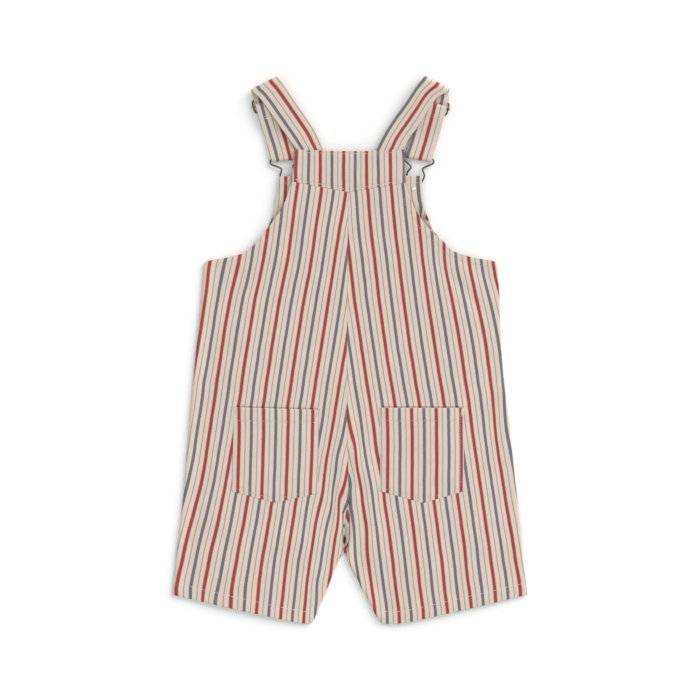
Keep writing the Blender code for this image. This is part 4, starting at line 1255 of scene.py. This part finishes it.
for side in ("left", "right"):
    pieces["front_" + side] = cloth_piece(
        "front_cloth_" + side, "front_panel_" + side, front_chains(side, STEP), SURFACES["front_" + side],
        lambda P, s=side: (crotch_lay(P, lay("front_" + s, P)[0]), P[:, 1].copy()),
        [("hem", HEM_DEPTH), ("armhole", ARMHOLE_DEPTH)], dense=[(339.5, 497.0, 350.5, 558.0, 0.6)])
    pieces["back_" + side] = cloth_piece(
        "back_cloth_" + side, "back_panel_" + side, back_chains(side, STEP), SURFACES["back_" + side],
        lambda P, s=side: lay("back_" + s, P), [("hem", HEM_DEPTH), ("armhole", ARMHOLE_DEPTH)], ridges=[POCKETS[side][:2]])
    pieces["pocket_" + side] = cloth_piece(
        "pocket_cloth_" + side, "back_pocket_" + side, pocket_chains(side, STEP), SURFACES["pocket_" + side],
        lambda P, s=side: lay("pocket_" + s, P), [("mouth", 12.8), ("edge", 3.4)], SPACING * 0.9)
pieces["yoke"] = cloth_piece(
    "yoke_cloth", "back_yoke", yoke_chains(STEP), yoke_surface, lambda P: lay("yoke", P),
    [("seam_left", 2.6), ("seam_right", 2.6), ("top", 2.6)], SPACING * 0.9)

strap_data = {}
for side in ("left", "right"):
    pieces["strap_" + side], strap_data[side] = strap_mesh(side, canvas)
    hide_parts("strap_" + side)
    made.append(pieces["strap_" + side])

# ---------------------------------------------------------------- seams' stitches
PITCH = 3.0


def seam_rows(key, thread_of, wanted, under=False, radius=0.24):
    """Rows of stitches inside the named edges: (edge, depth, cut from its start and end)."""
    chains = COARSE_FINE[key]
    outline = outline_of(chains)
    for kind, depth, head, tail in wanted:
        for n, chain in chains:
            if n != kind:
                continue
            line = offset_line(resample(chain, 2.0), depth, outline)
            line = trimmed(line, head, tail)
            if len(line) < 4:
                continue
            if under:
                thread_of.under_surface(line, SURFACES[key], pitch=PITCH, radius=radius)
            else:
                thread_of.on_surface(line, SURFACES[key], pitch=PITCH, radius=radius)


COARSE_FINE = {}
for side in ("left", "right"):
    COARSE_FINE["back_" + side] = back_chains(side, 3.0)
    COARSE_FINE["front_" + side] = front_chains(side, 3.0)
    COARSE_FINE["pocket_" + side] = pocket_chains(side, 3.0)
COARSE_FINE["yoke"] = yoke_chains(3.0)


def bar_tack(threads, centre, direction, surface, length=6.0, width=1.7):
    """A dense zigzag across the end of a seam."""
    direction = np.array(direction, float) / np.linalg.norm(direction)
    across = np.array([-direction[1], direction[0]])
    count = 13
    for k in range(count):
        s = (k / (count - 1) - 0.5) * length
        a = np.array(centre) + direction * s - across * width / 2
        b = np.array(centre) + direction * (s + length / count * 0.5) + across * width / 2
        z = surface(np.array([a, b]))[0]
        threads.stitch((*a, z[0] + 0.02), (*b, z[1] + 0.02), (0, 0, 1), 0.22)


for side in ("left", "right"):
    rows = Thread()
    seam_rows("back_" + side, rows, [("hem", HEM_DEPTH, 1.0, 1.0)])
    seam_rows("back_" + side, rows, [("armhole", ARMHOLE_DEPTH, 1.0, 4.0)], radius=0.09)
    obj = rows.make("back_stitches_" + side, thread)
    made.append(obj)
    pieces["back_stitches_" + side] = obj

    rows = Thread()
    seam_rows("front_" + side, rows, [("bib_top", 7.0, 2.0, 1.0)], radius=0.2)
    seam_rows("front_" + side, rows, [("hem", HEM_DEPTH, 1.0, 1.0), ("bib_top", 7.0, 2.0, 1.0), ("armhole", ARMHOLE_DEPTH, 46.0, 7.0)], under=True)
    obj = rows.make("front_stitches_" + side, thread)
    made.append(obj)
    pieces["front_stitches_" + side] = obj

    rows = Thread()
    key = "pocket_" + side
    seam_rows(key, rows, [("mouth", 12.8, 3.4, 3.4), ("edge", 3.4, 3.4, 3.4)], radius={"left": 0.15, "right": 0.11}[side])
    corners = POCKETS[side]
    for i, j in ((0, 1), (1, 0)):
        towards = np.array(corners[j]) - np.array(corners[i])
        towards = towards / np.linalg.norm(towards)
        bar_tack(rows, np.array(corners[i]) + towards * 2.2 + (0, 4.0), (0.0, 1.0), SURFACES[key])
    obj = rows.make("pocket_stitches_" + side, thread)
    made.append(obj)
    pieces["pocket_stitches_" + side] = obj

rows = Thread()
seam_rows("yoke", rows, [("seam_left", 2.6, 1.0, 1.0), ("seam_right", 2.6, 1.0, 1.0)], radius=0.2)
seam_rows("yoke", rows, [("top", 2.6, 3.0, 3.0)], radius=0.17)
pieces["yoke_stitches"] = rows.make("yoke_stitches", thread)
made.append(pieces["yoke_stitches"])

for side in ("left", "right"):
    rows = Thread()
    data = strap_data[side]
    # the row across the strap that closes the loop round the slider
    use = np.where(data["kinds"] == 2.0)[0]
    target = {"left": 117.6, "right": 117.0}[side]
    centre_y = (data["left"][use, 1] + data["right"][use, 1]) / 2
    i = use[int(np.argmin(np.abs(centre_y - target)))]
    sign = 1.0 if data["normal"][i, 2] > 0 else -1.0
    for offset in (0.0, 2.4):
        s = np.linspace(2.6, data["full"] - 2.6, 20)
        direction = data["left"][i + 1] - data["left"][i - 1]
        direction = direction / np.linalg.norm(direction)
        points = data["left"][i] + data["across"][i] * (s[:, None] / data["full"]) + data["normal"][i] * sign * STRAP_HALF + direction * offset
        rows.row(points, np.tile(data["normal"][i] * sign, (len(s), 1)), pitch=PITCH, lift=0.02, radius={"left": 0.22, "right": 0.12}[side])
    obj = rows.make("strap_stitches_" + side, thread)
    made.append(obj)
    pieces["strap_stitches_" + side] = obj


# ---------------------------------------------------------------- metal fittings
def tube(name, points, radii, material, closed, sides=14):
    """A bent wire of given radius at each point (table mm)."""
    points = np.asarray(points, float)
    radii = np.broadcast_to(radii, len(points))
    n = len(points)
    if closed:
        tangent = np.roll(points, -1, axis=0) - np.roll(points, 1, axis=0)
    else:
        tangent = np.gradient(points, axis=0)
    tangent /= np.linalg.norm(tangent, axis=1, keepdims=True)
    up = np.tile((0.0, 0.0, 1.0), (n, 1))
    side_way = np.cross(tangent, up)
    side_way /= np.linalg.norm(side_way, axis=1, keepdims=True)
    up = np.cross(side_way, tangent)
    verts = []
    for i in range(n):
        for k in range(sides):
            a = 2 * math.pi * k / sides
            verts.append(points[i] + (side_way[i] * math.cos(a) + up[i] * math.sin(a)) * radii[i])
    faces = []
    for i in range(n if closed else n - 1):
        j = (i + 1) % n
        for k in range(sides):
            faces.append([i * sides + k, i * sides + (k + 1) % sides, j * sides + (k + 1) % sides, j * sides + k])
    if not closed:
        faces.append([k for k in range(sides)][::-1])
        faces.append([(n - 1) * sides + k for k in range(sides)])
    obj = add_object(name, to_frame(np.array(verts)), faces, material)
    make_normals_face_out(obj)
    return obj


def join(objects, name):
    bpy.ops.object.select_all(action="DESELECT")
    for o in objects:
        o.select_set(True)
    bpy.context.view_layer.objects.active = objects[0]
    bpy.ops.object.join()
    objects[0].name = name
    objects[0].data.name = name
    return objects[0]


for hook in HOOKS:
    side = hook[0]
    centre, across, along = hook_axis(hook)
    half = spline(HOOK_SHAPE, 0.9)
    tip = spline([HOOK_SHAPE[-1], (39.9, 0.0)], 0.6)[1:-1]
    right_side = np.vstack([half, tip])
    ring = np.vstack([right_side, [(39.9, 0.0)], right_side[::-1] * (1, -1)])
    bar = np.column_stack([np.zeros(16), np.linspace(-HOOK_SHAPE[0][1], HOOK_SHAPE[0][1], 18)[1:-1]])
    ring = np.vstack([ring, bar])
    points = []
    for a, w in ring:
        z = 2.6 + 0.3 * float(ease(a / 14.0))
        points.append((*(centre + across * w + along * a), z))
    pieces["hook_" + side] = tube("hook_wire_" + side, points, 0.85, brass, True)

for _, x, y, turn in SLIDERS:
    side = "left" if x < 350 else "right"
    a = math.radians(turn)
    across, along = np.array([math.cos(a), -math.sin(a)]), np.array([math.sin(a), math.cos(a)])
    long_half, wide_half, corner, bar_z, r = 14.8, 6.2, 2.6, 4.0, 0.8
    ring = []
    starts = {(1, -1): -90, (1, 1): 0, (-1, 1): 90, (-1, -1): 180}
    for sx, sy in ((1, -1), (1, 1), (-1, 1), (-1, -1)):
        cx, cy = sx * (long_half - corner), sy * (wide_half - corner)
        for k in range(11):
            b = math.radians(starts[(sx, sy)] + 9 * k)
            ring.append((cx + corner * math.cos(b), cy + corner * math.sin(b)))
        if (sx, sy) in ((1, -1), (-1, 1)):
            for t in np.linspace(0.12, 0.88, 9):
                ring.append((sx * long_half, sy * (wide_half - corner) * (1 - 2 * t)))
        else:
            for t in np.linspace(0.05, 0.95, 16):
                ring.append((sx * (long_half - corner) * (1 - 2 * t), sy * wide_half))
    points = []
    low = r + 0.02
    for u, v in ring:
        arch = float(ease((abs(u) - (long_half - corner)) / corner)) * math.cos(math.pi * v / 2 / wide_half) ** 2
        p = np.array([x, y]) + across * u + along * v
        points.append((*p, low + (bar_z - low) * arch))
    loop = tube("slider_frame", points, r, brass, True)
    us = np.array([-16.4, -16.25, -15.9, -15.3, -15.1, -12, -6, 0, 6, 12, 15.1, 15.3, 15.9, 16.25, 16.4])
    rs = np.array([0.55, 0.95, 1.15, 1.15, 0.86, 0.85, 0.85, 0.85, 0.85, 0.85, 0.86, 1.15, 1.15, 0.95, 0.55])
    rod = tube("slider_rod", [(*(np.array([x, y]) + across * u), bar_z) for u in us], rs, brass, False)
    pieces["slider_" + side] = join([loop, rod], "slider_wire_" + side)


def turned(name, place, profile, material, segments=48):
    verts, faces = [], []
    for radius, z in profile:
        for k in range(segments):
            a = 2 * math.pi * k / segments
            verts.append((place[0] + radius * math.cos(a), place[1] + radius * math.sin(a), z))
    for i in range(len(profile) - 1):
        for k in range(segments):
            faces.append([i * segments + k, i * segments + (k + 1) % segments,
                          (i + 1) * segments + (k + 1) % segments, (i + 1) * segments + k])
    faces.append(list(range(segments))[::-1])
    faces.append([(len(profile) - 1) * segments + k for k in range(segments)])
    obj = add_object(name, to_frame(np.array(verts)), faces, material)
    make_normals_face_out(obj)
    return obj


for side, place in BUTTONS.items():
    # the head faces the surface: a dished disc with a rolled rim, then the neck
    pieces["bib_button_" + side] = turned("button_" + side, place, [
        (0.4, 0.34), (2.6, 0.30), (4.6, 0.36), (5.4, 0.20), (6.0, 0.04), (6.8, 0.01), (7.5, 0.14), (7.9, 0.42),
        (8.0, 0.78), (7.85, 1.15), (7.4, 1.45), (6.5, 1.62), (5.0, 1.68), (3.4, 1.70), (2.9, 1.80), (2.8, 2.2),
        (2.8, 3.9), (2.7, 4.0)], brass)
    low = BIB_LIFT + CLOTH + LAYER_GAP
    pieces["button_tack_" + side] = turned("tack_" + side, place, [
        (1.8, low - 0.02), (2.0, low + 0.02), (2.05, low + 0.16), (1.9, low + 0.34), (1.6, low + 0.5), (1.25, low + 0.46),
        (1.0, low + 0.42), (0.75, low + 0.56), (0.4, low + 0.72), (0.15, low + 0.76)], nickel)

for key, node in (("hook_", "hook_"), ("slider_", "slider_"), ("bib_button_", "bib_button_"), ("button_tack_", "button_tack_")):
    for side in ("left", "right"):
        obj = pieces[key + side]
        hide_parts(node + side)
        made.append(obj)

for obj in made:
    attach(obj, "root")

# ---------------------------------------------------------------- columns for the cut of each piece, m
SHEET_COLUMNS = ("key", "width", "length", "area")
